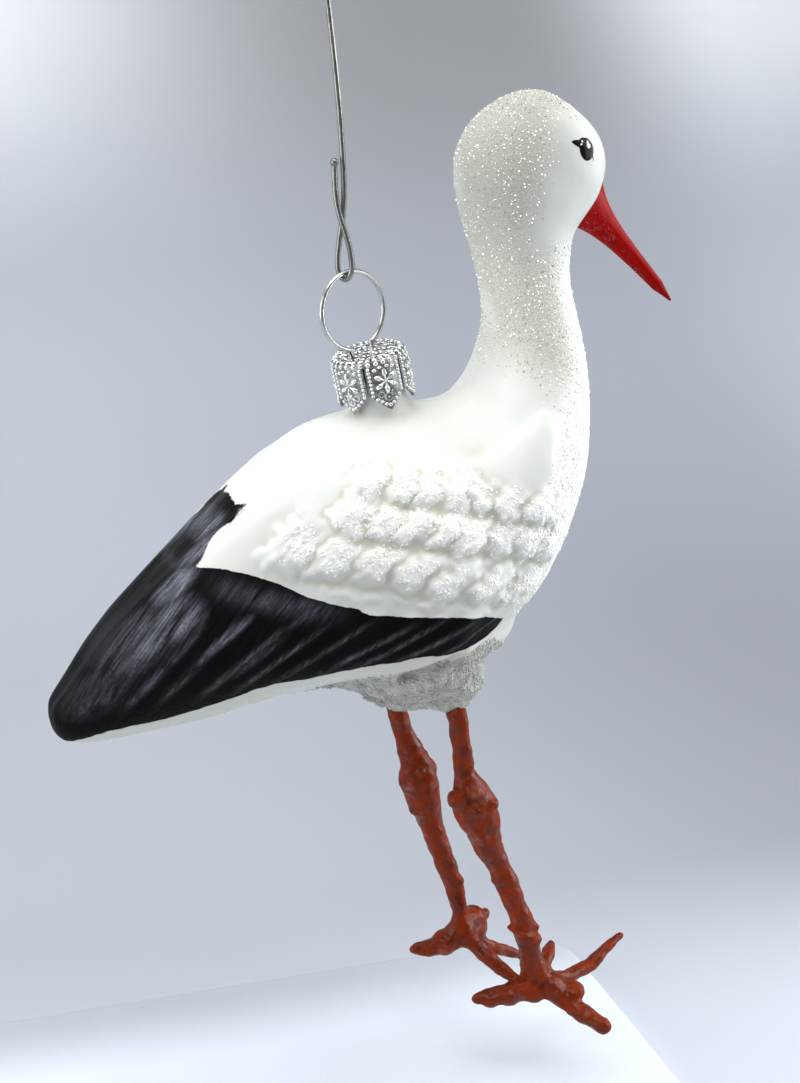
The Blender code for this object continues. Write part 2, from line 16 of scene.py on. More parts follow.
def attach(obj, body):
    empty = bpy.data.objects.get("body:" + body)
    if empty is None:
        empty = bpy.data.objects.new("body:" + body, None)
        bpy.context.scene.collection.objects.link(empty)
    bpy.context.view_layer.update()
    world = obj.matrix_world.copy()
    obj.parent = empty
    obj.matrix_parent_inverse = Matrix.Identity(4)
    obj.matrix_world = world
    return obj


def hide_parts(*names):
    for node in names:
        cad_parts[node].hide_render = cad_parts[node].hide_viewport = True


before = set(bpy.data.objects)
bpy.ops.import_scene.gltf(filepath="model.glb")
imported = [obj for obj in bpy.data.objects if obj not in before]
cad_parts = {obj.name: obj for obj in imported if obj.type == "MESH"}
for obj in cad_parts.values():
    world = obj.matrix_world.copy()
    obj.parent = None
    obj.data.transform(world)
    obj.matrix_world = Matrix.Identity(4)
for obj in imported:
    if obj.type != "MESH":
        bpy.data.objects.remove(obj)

bl_info = {
    "name": "Blown-glass stork",
    "version": (1, 0, 0),
    "blender": (4, 5, 0),
    "location": "3D View > Sidebar > Stork",
    "description": "Builds a painted glass stork ornament with its cap, hanger, clay legs and stand",
    "category": "Object",
}

MM = 0.001
FLESH_NODES = ("trunk", "neck", "head", "tail", "wing_right", "wing_left")
SIDES = {"right": -1, "left": 1}

# The painted flight feathers, as seen from the side (x, z): the brushed end across the back and down to
# the inner corner, the edge above the feathers to the shoulder, and the edge below them to the tail tip.
PAINT_BACK = [(-45, 112), (-10.4, 112), (-9.4, 107.6), (-8.2, 107.0)]
PAINT_INNER = [(-8.2, 107.0), (-10.7, 104.8), (-12.7, 103.4), (-14.6, 101.2), (-16.4, 98.8)]
PAINT_UPPER = [(-16.4, 98.8), (-12.2, 99.0), (-6.5, 97.6), (-2.4, 95.6), (2.0, 94.0), (4.6, 93.4)]
PAINT_FRONT = [(5.3, 92.7), (8.7, 91.9), (13.5, 91.3), (18.0, 90.7), (23.4, 89.6), (28.7, 87.4)]
PAINT_LOWER = [(28.7, 87.4), (26.6, 85.3), (20.3, 83.8), (14.3, 84.1), (7.2, 83.0), (0.0, 81.8),
               (-7.2, 81.4), (-12.0, 79.9), (-20.8, 77.2), (-30.2, 75.0), (-36.4, 72.4), (-45, 71)]
BRUSH_END = ((-10.4, 107.2), (-8.0, 106.6))
BRUSH_SLOPE = math.radians(52)

# Dry-brushed grey over the black, partly painted sheen, as strokes up the slope: centre x, z, half-length,
# half-width, strength.
DRY_SLOPE = math.radians(41)
DRY_AND_SHEEN_STROKES = [
    (-15.6, 101.0, 5.0, 0.9, 0.8), (-13.2, 104.6, 3.2, 0.8, 0.7), (-19.6, 96.0, 4.6, 1.2, 0.9),
    (-19.8, 92.0, 4.6, 2.4, 0.85), (-23.4, 88.8, 4.2, 1.3, 0.9), (-13.6, 90.0, 4.8, 0.8, 0.9),
    (-25.4, 88.4, 8.0, 3.4, 0.4), (-31.0, 81.6, 7.0, 3.0, 0.2), (-3.6, 92.3, 3.2, 0.6, 0.35),
    (-9.0, 87.0, 6.0, 0.7, 0.25), (-20.5, 101.5, 1.5, 3.5, 0.3),
]
# Painted sheen: a band of the same grey under the upper edge: its two ends (x, z), half-width and strength.
PAINTED_SHEEN_BAND = ((-15.5, 97.0), (5.0, 92.0), 1.5, 0.3)

# Moulded feathers in rows along each flank: first and last centre, count, length, width, height, slope.
# Each row bows up in its middle by a quarter of ROW_BOW.
ROW_BOW = 3.2
FEATHER_ROWS = [
    ((8.4, 110.6), (35.4, 103.8), 8, 7.6, 4.1, 1.3, 40),
    ((4.6, 106.2), (34.6, 98.6), 8, 8.6, 4.6, 1.5, 37),
    ((-3.6, 102.6), (29.6, 92.8), 7, 11.4, 5.1, 1.5, 33),
    ((3.0, 97.0), (25.0, 91.6), 5, 6.4, 3.8, 0.4, 34),
]
FROSTED_ROWS = (0, 1, 2)

# Long ridges under the black paint, from lower to upper end (x, z), and their half-width and height.
FLIGHT_RIDGES = [
    ((17.0, 83.9), (28.0, 88.2), 0.8, 0.45), ((9.4, 83.0), (24.0, 90.0), 1.0, 0.7),
    ((3.6, 82.2), (18.5, 91.0), 1.1, 0.8), ((-2.2, 81.6), (14.7, 91.0), 1.1, 0.8),
    ((-8.2, 81.2), (8.0, 92.0), 1.1, 0.8), ((-13.5, 80.2), (2.0, 92.6), 1.2, 0.7),
    ((-18.5, 79.6), (-4.0, 92.6), 1.3, 0.6), ((-24.0, 78.8), (-10.0, 94.0), 1.4, 0.5),
    ((-29.0, 77.6), (-15.5, 92.5), 1.5, 0.45),
]

# Folds pressed into the belly, as for the ridges, with their depth.
BELLY_FOLDS = [((12.0, 78.6), (21.5, 83.2), 0.8, 0.9), ((2.0, 77.4), (9.0, 75.6), 0.9, 0.5)]

# Where the front of the belly is drawn in or out, at which height: z, reach and shift.
BELLY_WAIST = [(86.0, 2.6, -1.2), (79.0, 2.3, -2.0), (74.5, 1.5, 0.8)]

# Where the legs enter the belly (x, y): it is drawn down round them, by LEG_ROOT_DROP.
LEG_ROOTS = [(24.6, -5.7), (17.0, 5.7)]
LEG_ROOT_DROP = 1.3

# Between the tail and the legs the belly is tucked up, below this height.
TUCK_TOP = 79.5

# The crumbly frost on the belly lies below this line (x, z).
FROST_LINE = [(-9, 72.5), (-3, 76.4), (3, 78.6), (9, 80.4), (15, 81.6), (20.8, 82.8), (26.3, 84.4),
              (30.0, 83.0), (33.5, 80.0), (50, 76.0)]

# The crown cap with its six leaves, the ring in it, and the way the hanger's hook faces.
CAP_TOP = (11.4, 0.0, 126.5)
CAP_LEAN = math.radians(-12)
CAP_LEAVES = 6
CAP_LEAF_TURN = math.radians(-86)
RING_TURN = math.radians(20)
RING_SHIFT = -0.8
RING_CENTRE = 6.4
RING_HALF_HEIGHT = 5.7
HANGER_TURN = math.radians(-45)

# The stand's rod: its radius, the height of its arm, and the gap that touching wires keep.
ROD_RADIUS = 2.0
ROD_TOP = 187.0
WIRE_GAP = 0.12

# Half the width of a grain's patch, as a share of the whole unwrap.
GRAIN_PATCH = 0.0015

# Extra lumps of clay, pressed on by hand: x, y, z, radius, and how flat (1 is round).
LEG_LUMPS = {
    "right": [
        (23.3, -7.6, 57.0, 1.75, 0.85), (26.0, -8.4, 58.0, 1.7, 0.8), (28.2, -8.0, 56.0, 1.7, 0.75),
        (26.0, -9.0, 55.2, 1.3, 0.7),
        (27.2, -7.4, 51.6, 2.6, 0.35), (26.8, -7.2, 49.4, 2.2, 0.4), (31.3, -6.8, 41.4, 2.2, 0.3),
        (34.6, -7.0, 32.0, 2.5, 0.25), (36.9, -7.3, 30.8, 1.0, 0.8), (36.6, -7.5, 32.8, 0.8, 0.8),
        (39.6, -8.0, 21.8, 2.8, 0.8), (42.6, -9.2, 21.2, 2.1, 0.7), (36.0, -7.6, 22.0, 2.6, 0.8),
        (34.0, -7.4, 22.0, 2.4, 0.85), (32.2, -7.3, 21.3, 2.4, 0.85), (29.4, -7.2, 21.0, 1.9, 0.8),
    ],
    "left": [
        (21.0, 4.0, 57.2, 0.95, 1.0), (22.7, 4.1, 56.0, 0.85, 1.0), (22.0, 6.0, 56.6, 2.6, 0.8),
        (20.8, 6.0, 54.0, 2.7, 0.35), (22.6, 5.8, 51.6, 2.6, 0.3), (22.0, 6.0, 49.0, 2.3, 0.28),
        (24.0, 6.2, 45.4, 2.2, 0.25), (27.6, 6.6, 35.8, 2.0, 0.3), (31.4, 8.6, 25.4, 2.6, 0.95),
        (32.4, 9.2, 26.7, 2.2, 0.9), (33.2, 10.2, 24.4, 2.1, 0.95), (34.6, 11.4, 26.0, 1.4, 0.7),
        (26.2, 6.9, 24.2, 2.3, 0.85), (28.4, 7.1, 25.4, 2.2, 0.85), (31.0, 7.8, 27.4, 1.9, 0.9),
        (23.8, 7.0, 23.8, 1.8, 0.8),
    ],
}


# ---------------------------------------------------------------------------------------------------------
# Settings


def colour_setting(name, description, default):
    return FloatVectorProperty(name=name, description=description, subtype="COLOR", default=default,
                               min=0, max=1)


def length_setting(name, description, default, low, high):
    """A length, given here in millimetres."""
    return FloatProperty(name=name, description=description, unit="LENGTH", default=default * MM,
                         min=low * MM, max=high * MM)


class GlassSettings(bpy.types.PropertyGroup):
    white: colour_setting("Lacquer", "White lacquer on the glass", (0.84, 0.85, 0.79))
    # Painted shade: this darker white is laid on the face, under the flanks and on the hind part of the
    # wings.
    painted_shade_white: colour_setting("Thin lacquer", "Where the silvering shows through", (0.60, 0.615, 0.57))
    glitter_coat: colour_setting("Glitter coat", "Tone under the fine glitter", (0.66, 0.65, 0.56))
    # The frost's grey is darkened as painted shade for the underside of the belly.
    frost: colour_setting("Frost", "Crumbly frost on the belly", (0.44, 0.44, 0.40))
    black: colour_setting("Feather paint", "Black paint of the flight feathers", (0.0016, 0.0017, 0.0016))
    # Also the grey of the painted sheen and the painted highlights on the black.
    dry_brush: colour_setting("Dry brush", "Grey brushed over the black", (0.22, 0.23, 0.27))
    fine_voxel: length_setting("Detail", "Mesh size of the finished glass", 0.42, 0.3, 2)
    feather_relief: FloatProperty(name="Feather relief", description="Height of the moulded feathers",
                                  default=1.0, min=0.0, max=2.0)


class PaintSettings(bpy.types.PropertyGroup):
    bill: colour_setting("Bill", "Red lacquer of the bill", (0.34, 0.003, 0.0015))
    eye: colour_setting("Eye", "Black enamel of the eye", (0.006, 0.006, 0.007))
    glint: colour_setting("Eye glint", "White dots in the eye", (0.86, 0.86, 0.88))
    clay: colour_setting("Clay", "Red-brown clay of the legs", (0.180, 0.0215, 0.0036))


class MetalSettings(bpy.types.PropertyGroup):
    cap: colour_setting("Cap", "Plated cap", (0.86, 0.87, 0.86))
    # Painted shade: the dark between the stamped relief, varied by tarnish.
    cap_recess_shade: colour_setting("Cap recess", "Dark tarnish between the stamped relief", (0.30, 0.305, 0.295))
    ring: colour_setting("Ring", "Plated wire of the ring", (0.58, 0.58, 0.56))
    hanger: colour_setting("Hanger", "Duller wire of the hanger", (0.26, 0.26, 0.235))
    cap_radius: length_setting("Cap radius", "Outside of the cap", 5.5, 4, 7)
    cap_height: length_setting("Cap height", "From its top to the tips of its leaves", 7.9, 5, 10)
    ring_wire: length_setting("Ring wire", "Radius of the ring's wire", 0.39, 0.2, 0.5)
    hanger_wire: length_setting("Hanger wire", "Radius of the hanger's wire", 0.42, 0.2, 0.6)


class GlitterSettings(bpy.types.PropertyGroup):
    seed: IntProperty(name="Seed", description="Where the grains fall", default=7, min=0)
    flake: length_setting("Flake radius", "Size of one glitter flake", 0.13, 0.05, 0.4)
    crumb: length_setting("Crumb radius", "Size of one crumb of frost", 0.24, 0.1, 0.6)


class StageSettings(bpy.types.PropertyGroup):
    floor: colour_setting("Floor", "Pale floor under the stand", (0.60, 0.64, 0.71))
    backdrop: colour_setting("Backdrop", "Tone of the backdrop higher up", (0.25, 0.262, 0.296))
    stand_paint: colour_setting("Stand paint", "Enamel of the stand's plate", (0.475, 0.505, 0.555))
    stand_steel: colour_setting("Stand rod", "Brushed steel of the rod", (0.58, 0.58, 0.58))
    azimuth: FloatProperty(name="Camera azimuth", description="Round from the bird's right side",
                           subtype="ANGLE", default=math.radians(-18))
    elevation: FloatProperty(name="Camera elevation", description="Above the horizon", subtype="ANGLE",
                             default=math.radians(18))
    distance: FloatProperty(name="Camera distance", description="From the middle of the bird",
                            unit="LENGTH", default=0.316, min=0.1, max=2.0)
    lens: FloatProperty(name="Lens", description="Focal length in millimetres", default=70, min=20, max=200)


class StorkSettings(bpy.types.PropertyGroup):
    glass: PointerProperty(type=GlassSettings)
    paint: PointerProperty(type=PaintSettings)
    metal: PointerProperty(type=MetalSettings)
    glitter: PointerProperty(type=GlitterSettings)
    stage: PointerProperty(type=StageSettings)


# ---------------------------------------------------------------------------------------------------------
# Modelling helpers


def mm(*values):
    """A vector in metres from millimetres."""
    return Vector(values) * MM


def select_only(*objects):
    if bpy.context.mode != "OBJECT":
        bpy.ops.object.mode_set(mode="OBJECT")
    bpy.ops.object.select_all(action="DESELECT")
    for obj in objects:
        obj.select_set(True)
    bpy.context.view_layer.objects.active = objects[0]


def apply_modifier(obj, kind, **settings):
    select_only(obj)
    modifier = obj.modifiers.new(kind.lower(), kind)
    for key, value in settings.items():
        setattr(modifier, key, value)
    bpy.ops.object.modifier_apply(modifier=modifier.name)


def bake_place(obj):
    select_only(obj)
    bpy.ops.object.transform_apply(location=True, rotation=True, scale=True)


def merge_doubles(obj, distance=0.002 * MM):
    """Merges points that lie together and turns every face outward."""
    select_only(obj)
    bpy.ops.object.mode_set(mode="EDIT")
    bpy.ops.mesh.select_all(action="SELECT")
    bpy.ops.mesh.remove_doubles(threshold=distance)
    bpy.ops.mesh.normals_make_consistent(inside=False)
    bpy.ops.object.mode_set(mode="OBJECT")


def smooth_faces(obj, angle=None):
    select_only(obj)
    if angle is None:
        bpy.ops.object.shade_smooth()
    else:
        bpy.ops.object.shade_smooth_by_angle(angle=math.radians(angle))


def mesh_copy(source, name):
    """A new object with its own copy of a mesh."""
    copy = bpy.data.objects.new(name, source.data.copy())
    bpy.context.scene.collection.objects.link(copy)
    return copy


def copy_of_node(node, name):
    """A free, merged copy of a solid of the frame."""
    piece = mesh_copy(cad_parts[node], name)
    piece.data.materials.clear()
    select_only(piece)
    if piece.data.has_custom_normals:
        bpy.ops.mesh.customdata_custom_splitnormals_clear()
    merge_doubles(piece)
    return piece


def join_pieces(pieces, name):
    select_only(*pieces)
    if len(pieces) > 1:
        bpy.ops.object.join()
    pieces[0].name = name
    pieces[0].data.name = name
    return pieces[0]


def remove(*objects):
    for obj in objects:
        bpy.data.objects.remove(obj, do_unlink=True)


def keep_largest(obj):
    """Drops every loose shell but the biggest."""
    name = obj.name
    select_only(obj)
    bpy.ops.object.mode_set(mode="EDIT")
    bpy.ops.mesh.select_all(action="SELECT")
    bpy.ops.mesh.separate(type="LOOSE")
    bpy.ops.object.mode_set(mode="OBJECT")
    shells = sorted(bpy.context.selected_objects, key=lambda shell: len(shell.data.vertices))
    remove(*shells[:-1])
    shells[-1].name = name
    return shells[-1]


def points_of(obj):
    """The mesh's points, in millimetres, as an array."""
    found = np.empty(len(obj.data.vertices) * 3)
    obj.data.vertices.foreach_get("co", found)
    return found.reshape(-1, 3) / MM


def normals_of(obj):
    found = np.empty(len(obj.data.vertices) * 3, np.float32)
    obj.data.vertex_normals.foreach_get("vector", found)
    return found.reshape(-1, 3)


def set_attribute(obj, name, values):
    attribute = obj.data.attributes.new(name, "FLOAT", "POINT")
    attribute.data.foreach_set("value", np.asarray(values, np.float32))


def attribute_of(obj, name):
    found = np.empty(len(obj.data.vertices), np.float32)
    obj.data.attributes[name].data.foreach_get("value", found)
    return found


def smoothstep(values, low, high):
    share = np.clip((values - low) / (high - low), 0, 1)
    return share * share * (3 - 2 * share)


def fold_depth(obj):
    """How deep each point lies in a fold: the mean of its neighbours' rise above it, smoothed."""
    mesh = obj.data
    points, normals = points_of(obj), normals_of(obj)
    edges = np.empty(len(mesh.edges) * 2, int)
    mesh.edges.foreach_get("vertices", edges)
    edges = edges.reshape(-1, 2)
    count = np.bincount(edges.ravel(), minlength=len(points)).astype(float)
    wide = points.copy()
    for _ in range(6):
        total = np.zeros_like(points)
        np.add.at(total, edges[:, 0], wide[edges[:, 1]])
        np.add.at(total, edges[:, 1], wide[edges[:, 0]])
        wide = total / count[:, None]
    rise = ((wide - points) * normals).sum(1)
    return smoothstep(rise, 0.01, 0.12)


def window(values, start, full, ebb, end):
    """0 outside, 1 between full and ebb, and smooth in between."""
    return smoothstep(values, start, full) * (1 - smoothstep(values, ebb, end))


def bell(values, width):
    return np.exp(-((values / width) ** 2))


def smooth_line(points, steps=6):
    """A finer line through the given points, rounded at each."""
    rows = np.asarray(points, float)
    last = len(rows) - 1
    line = []
    for i in range(last):
        before, after = rows[max(i - 1, 0)], rows[min(i + 2, last)]
        start, end = rows[i], rows[i + 1]
        slope_in, slope_out = (end - before) / 2, (after - start) / 2
        for k in range(steps):
            t = k / steps
            line.append((2 * t**3 - 3 * t**2 + 1) * start + (t**3 - 2 * t**2 + t) * slope_in
                        + (3 * t**2 - 2 * t**3) * end + (t**3 - t**2) * slope_out)
    line.append(rows[last])
    return np.array(line)


def signed_distance(points, outline):
    """Distance from each (x, z) point to a closed outline, positive inside."""
    ends = np.roll(outline, -1, axis=0)
    nearest = np.full(len(points), 1e9)
    inside = np.zeros(len(points), bool)
    for start, end in zip(outline, ends):
        edge = end - start
        share = np.clip(((points - start) @ edge) / max(edge @ edge, 1e-12), 0, 1)
        gap = points - start - share[:, None] * edge
        nearest = np.minimum(nearest, (gap**2).sum(1))
        crosses = (start[1] > points[:, 1]) != (end[1] > points[:, 1])
        if edge[1]:
            reach = start[0] + (points[:, 1] - start[1]) * edge[0] / edge[1]
            inside ^= crosses & (points[:, 0] < reach)
    return np.where(inside, 1, -1) * np.sqrt(nearest)


def surface_tree(obj):
    mesh = obj.data
    faces = [tuple(face.vertices) for face in mesh.polygons]
    return BVHTree.FromPolygons([vert.co for vert in mesh.vertices], faces)


def flank_point(tree, x, z, side):
    """Where a line from that side meets the surface, and the surface's normal there."""
    place, normal, _, _ = tree.ray_cast(mm(x, side * 60, z), Vector((0, -side, 0)))
    if place is None:
        raise RuntimeError(f"nothing of the glass lies at x {x}, z {z}")
    return place, normal


def stamp(master, matrix):
    """A copy of a small shape, with its own mesh, at that place."""
    copy = mesh_copy(master, master.name + "_copy")
    copy.data.transform(matrix)
    if matrix.determinant() < 0:
        copy.data.flip_normals()
    return copy


def select_where(obj, kind, wanted):
    """Goes into edit mode with the points, edges or faces selected whose every point meets a test."""
    select_only(obj)
    bpy.ops.object.mode_set(mode="EDIT")
    bpy.ops.mesh.select_mode(type=kind)
    bpy.ops.mesh.select_all(action="DESELECT")
    bpy.ops.object.mode_set(mode="OBJECT")
    points = obj.data.vertices
    for part in {"VERT": points, "EDGE": obj.data.edges, "FACE": obj.data.polygons}[kind]:
        corners = [part.index] if kind == "VERT" else part.vertices
        part.select = all(wanted(points[corner].co) for corner in corners)
    bpy.ops.object.mode_set(mode="EDIT")


def resize_where(obj, wanted, value):
    """Resizes the points that meet a test, about the origin, in edit mode."""
    select_where(obj, "VERT", wanted)
    bpy.ops.transform.resize(value=value, center_override=(0, 0, 0))
    bpy.ops.object.mode_set(mode="OBJECT")


def wire_piece(name, points, radius, sides):
    """A round wire or rod along points in metres, each (x, y, z) or (x, y, z, radius)."""
    curve = bpy.data.curves.new(name, "CURVE")
    curve.dimensions = "3D"
    curve.bevel_depth = 1.0
    curve.bevel_resolution = sides
    curve.use_fill_caps = True
    spline = curve.splines.new("POLY")
    spline.points.add(len(points) - 1)
    for target, point in zip(spline.points, points):
        target.co = (*point[:3], 1.0)
        target.radius = point[3] if len(point) > 3 else radius
    obj = bpy.data.objects.new(name, curve)
    bpy.context.scene.collection.objects.link(obj)
    select_only(obj)
    bpy.ops.object.convert(target="MESH")
    obj = bpy.context.object
    merge_doubles(obj, 0.001 * MM)
    smooth_faces(obj, 50)
    return obj


def finish_piece(obj, material, slot, *nodes):
    obj.data.materials.clear()
    obj.data.materials.append(material)
    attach(obj, "root")
    if nodes:
        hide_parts(*nodes)


# ---------------------------------------------------------------------------------------------------------
# Material helpers and the effects that several materials share


def add_node(tree, kind, values=None, **settings):
    """A node with its settings and its inputs, where a socket is linked and anything else is a value."""
    made = tree.nodes.new(kind)
    for key, value in settings.items():
        setattr(made, key, value)
    for key, value in (values or {}).items():
        if isinstance(value, bpy.types.NodeSocket):
            tree.links.new(value, made.inputs[key])
        else:
            made.inputs[key].default_value = value
    return made


def shader_node(tree, kind, values=None, **settings):
    return add_node(tree, "ShaderNode" + kind, values, **settings)


def maths(tree, operation, first, second=0.0, clamp=False):
    return shader_node(tree, "Math", {0: first, 1: second}, operation=operation, use_clamp=clamp).outputs[0]


def times(tree, first, second, clamp=False):
    return maths(tree, "MULTIPLY", first, second, clamp)


def plus(tree, first, second, clamp=False):
    return maths(tree, "ADD", first, second, clamp)


def ramp(tree, value, low, high, start=0.0, end=1.0):
    return shader_node(tree, "MapRange", {0: value, 1: low, 2: high, 3: start, 4: end},
                       interpolation_type="SMOOTHSTEP").outputs[0]


def mix_colour(tree, share, first, second):
    first, second = ((*colour, 1.0) if isinstance(colour, tuple) and len(colour) == 3 else colour
                     for colour in (first, second))
    return shader_node(tree, "Mix", {0: share, 6: first, 7: second}, data_type="RGBA").outputs[2]


def tint(tree, colour, mask, amount, tone):
    """Lays a tone over a colour, by a mask times an amount."""
    return mix_colour(tree, times(tree, mask, amount), colour, tone)


def toned(colour, factor):
    """A colour made lighter or darker."""
    return tuple(min(channel * factor, 1.0) for channel in colour)


def mix_value(tree, share, first, second):
    return shader_node(tree, "Mix", {0: share, 2: first, 3: second}, data_type="FLOAT").outputs[0]


def object_mm(tree):
    """Object coordinates in millimetres, from one node in each material."""
    found = tree.nodes.get("Millimetres")
    if found is None:
        place = shader_node(tree, "TexCoord").outputs["Object"]
        found = shader_node(tree, "Mapping", {"Vector": place, "Scale": (1000, 1000, 1000)},
                            name="Millimetres")
    return found.outputs[0]


def axes_of(tree):
    """The same coordinates, one by one."""
    return shader_node(tree, "SeparateXYZ", {0: object_mm(tree)}).outputs


def new_material(name):
    material = bpy.data.materials.new(name)
    material.use_nodes = True
    return material, material.node_tree, material.node_tree.nodes["Principled BSDF"]


def attribute_value(tree, name):
    return shader_node(tree, "Attribute", attribute_name=name).outputs["Fac"]


def feed(shader, socket, value):
    """Links a value to one of the shader's sockets."""
    shader.id_data.links.new(value, shader.inputs[socket])


def add_bump(tree, shader, height, depth):
    """Relief of that depth in metres, as bump on the shader's normal."""
    bump = shader_node(tree, "Bump", {"Height": height, "Distance": depth, "Strength": 1.0})
    feed(shader, "Normal", bump.outputs[0])


def new_group(name, output, **inputs):
    """A shader group that takes a vector and numbers, each with its default, and gives one number."""
    group = bpy.data.node_groups.new(name, "ShaderNodeTree")
    group.interface.new_socket(name="Vector", in_out="INPUT", socket_type="NodeSocketVector")
    for socket, default in inputs.items():
        made = group.interface.new_socket(name=socket, in_out="INPUT", socket_type="NodeSocketFloat")
        made.default_value = default
    group.interface.new_socket(name=output, in_out="OUTPUT", socket_type="NodeSocketFloat")
    start = group.nodes.new("NodeGroupInput")
    end = group.nodes.new("NodeGroupOutput")
    return group, start.outputs, end.inputs


def spread_out(group, value, low, high, result):
    """Gives out a value stretched from low..high to 0..1."""
    stretched = shader_node(group, "MapRange", {0: value, 1: low, 2: high})
    group.links.new(stretched.outputs[0], result)


def mottle_group():
    """Soft mottling of any size."""
    group, given, result = new_group("Mottle", "Value", Size=1.0, Detail=4.0, Low=0.3, High=0.7)
    scale = maths(group, "DIVIDE", 1.0, given["Size"])
    noise = shader_node(group, "TexNoise", {"Vector": given["Vector"], "Scale": scale,
                                            "Detail": given["Detail"], "Roughness": 0.6})
    spread_out(group, noise.outputs[0], given["Low"], given["High"], result["Value"])
    return group


def streak_group():
    """Long strokes in the X-Z plane, as a brush or a drawing die leaves them."""
    group, given, result = new_group("Strokes", "Value", Slope=0.8, Length=10.0, Width=0.6,
                                     Low=0.4, High=0.65)
    turned = shader_node(group, "VectorRotate", {"Vector": given["Vector"], "Angle": given["Slope"]},
                         rotation_type="Y_AXIS")
    axes = shader_node(group, "SeparateXYZ", {0: turned.outputs[0]}).outputs
    along, side, across = (maths(group, "DIVIDE", axes[index], given[size])
                           for index, size in enumerate(("Length", "Width", "Width")))
    vector = shader_node(group, "CombineXYZ", {0: along, 1: side, 2: across})
    noise = shader_node(group, "TexNoise", {"Vector": vector.outputs[0], "Scale": 1.0, "Detail": 5.0,
                                            "Roughness": 0.62, "Distortion": 0.35})
    spread_out(group, noise.outputs[0], given["Low"], given["High"], result["Value"])
    return group


def speck_group():
    """Scattered dots: each cell holds one, and only a share of the cells show it."""
    group, given, result = new_group("Specks", "Mask", Spacing=1.0, Share=0.3, Dot=0.3)
    scale = maths(group, "DIVIDE", 1.0, given["Spacing"])
    cells = shader_node(group, "TexVoronoi", {"Vector": given["Vector"], "Scale": scale})
    chance = shader_node(group, "SeparateColor", {0: cells.outputs["Color"]})
    shown = maths(group, "LESS_THAN", chance.outputs[0], given["Share"])
    dot = shader_node(group, "MapRange", {0: cells.outputs["Distance"], 1: given["Dot"], 2: 0.0})
    group.links.new(times(group, shown, dot.outputs[0]), result["Mask"])
    return group


def edge_group():
    """The edge of a coat of paint laid on by hand: a distance in millimetres turned into a mask."""
    group, given, result = new_group("Painted edge", "Mask", Distance=0.0, Wobble=0.2, Size=2.0,
                                     Softness=0.06)
    scale = maths(group, "DIVIDE", 1.0, given["Size"])
    noise = shader_node(group, "TexNoise", {"Vector": given["Vector"], "Scale": scale, "Detail": 3.0})
    shift = times(group, maths(group, "SUBTRACT", noise.outputs[0], 0.5), given["Wobble"])
    moved = plus(group, given["Distance"], shift)
    spread_out(group, moved, times(group, given["Softness"], -1.0), given["Softness"], result["Mask"])
    return group


def effect(tree, name, **values):
    """One of the shared groups, placed in a material with its own values."""
    makers = {"Mottle": mottle_group, "Strokes": streak_group, "Specks": speck_group,
              "Painted edge": edge_group}
    group = bpy.data.node_groups.get(name) or makers[name]()
    made = add_node(tree, "ShaderNodeGroup", {"Vector": object_mm(tree), **values}, node_tree=group)
    return made.outputs[0]


# ---------------------------------------------------------------------------------------------------------
# Materials


def glass_coats(tree, settings, cloud, fine, crumb):
    """White lacquer with painted shade in places, and over it the glitter coat, the frost darkened as
    painted shade, the snow on the feathers and painted shade in the creases.
    """
    white, coat, frost_shade_tone = tuple(settings.white), tuple(settings.glitter_coat), tuple(settings.frost)
    colour = mix_colour(tree, cloud, white, toned(white, 0.95))
    # Painted shade: a darker white on the face, under the flanks and on the hind part of the wings.
    thin = times(tree, attribute_value(tree, "thin"), ramp(tree, cloud, 0, 1, 1.0, 0.8))
    colour = mix_colour(tree, thin, colour, tuple(settings.painted_shade_white))
    grainy = mix_colour(tree, fine, toned(coat, 0.86), toned(coat, 1.16))
    # Painted shade: the glitter coat darkens towards the top of the head.
    grainy = mix_colour(tree, ramp(tree, axes_of(tree)[2], 136.0, 152.0), grainy, toned(coat, 0.78))
    colour = tint(tree, colour, attribute_value(tree, "glitter"), 0.9, grainy)
    # Painted shade: the belly frost in greys darkened for its underside.
    shaded_frost_colour = mix_colour(tree, crumb, toned(frost_shade_tone, 0.72), toned(frost_shade_tone, 1.2))
    colour = mix_colour(tree, attribute_value(tree, "frost"), colour, shaded_frost_colour)
    snow = maths(tree, "MAXIMUM", attribute_value(tree, "bumps"), attribute_value(tree, "chest"))
    colour = tint(tree, colour, snow, 0.85, (0.96, 0.965, 0.93))
    # Painted shade: a warm grey in the creases between the feathers and under the flanks.
    return tint(tree, colour, attribute_value(tree, "crease"), 0.7, (0.57, 0.55, 0.43))


def feather_paint(tree, settings, strokes):
    """The black paint with its ragged end, and the grey over it as brushed paint, painted sheen and painted
    highlights: its mask, its colour and the grey.
    """
    scratchy = effect(tree, "Strokes", Slope=math.radians(40), Length=0.9, Width=0.16, Low=0.35, High=0.65)
    ragged = times(tree, times(tree, scratchy, attribute_value(tree, "brush_end")), -0.4)
    distance = plus(tree, attribute_value(tree, "paint"), ragged)
    painted = effect(tree, "Painted edge", Distance=distance, Wobble=0.5, Size=1.6, Softness=0.05)
    dry_and_sheen = attribute_value(tree, "dry_brush")
    chalk = effect(tree, "Mottle", Size=0.5, Detail=4.0, Low=0.36, High=0.62)
    streaky = times(tree, strokes, plus(tree, times(tree, chalk, 0.6), 0.4))
    wide = effect(tree, "Strokes", Slope=BRUSH_SLOPE, Length=14.0, Width=2.2, Low=0.35, High=0.6)
    # Painted sheen: a soft haze of grey over the black.
    painted_sheen_haze = times(tree, times(tree, dry_and_sheen, 0.45), wide)
    grey = plus(tree, times(tree, streaky, dry_and_sheen, clamp=True), painted_sheen_haze, clamp=True)
    return painted, mix_colour(tree, grey, tuple(settings.black), tuple(settings.dry_brush)), grey


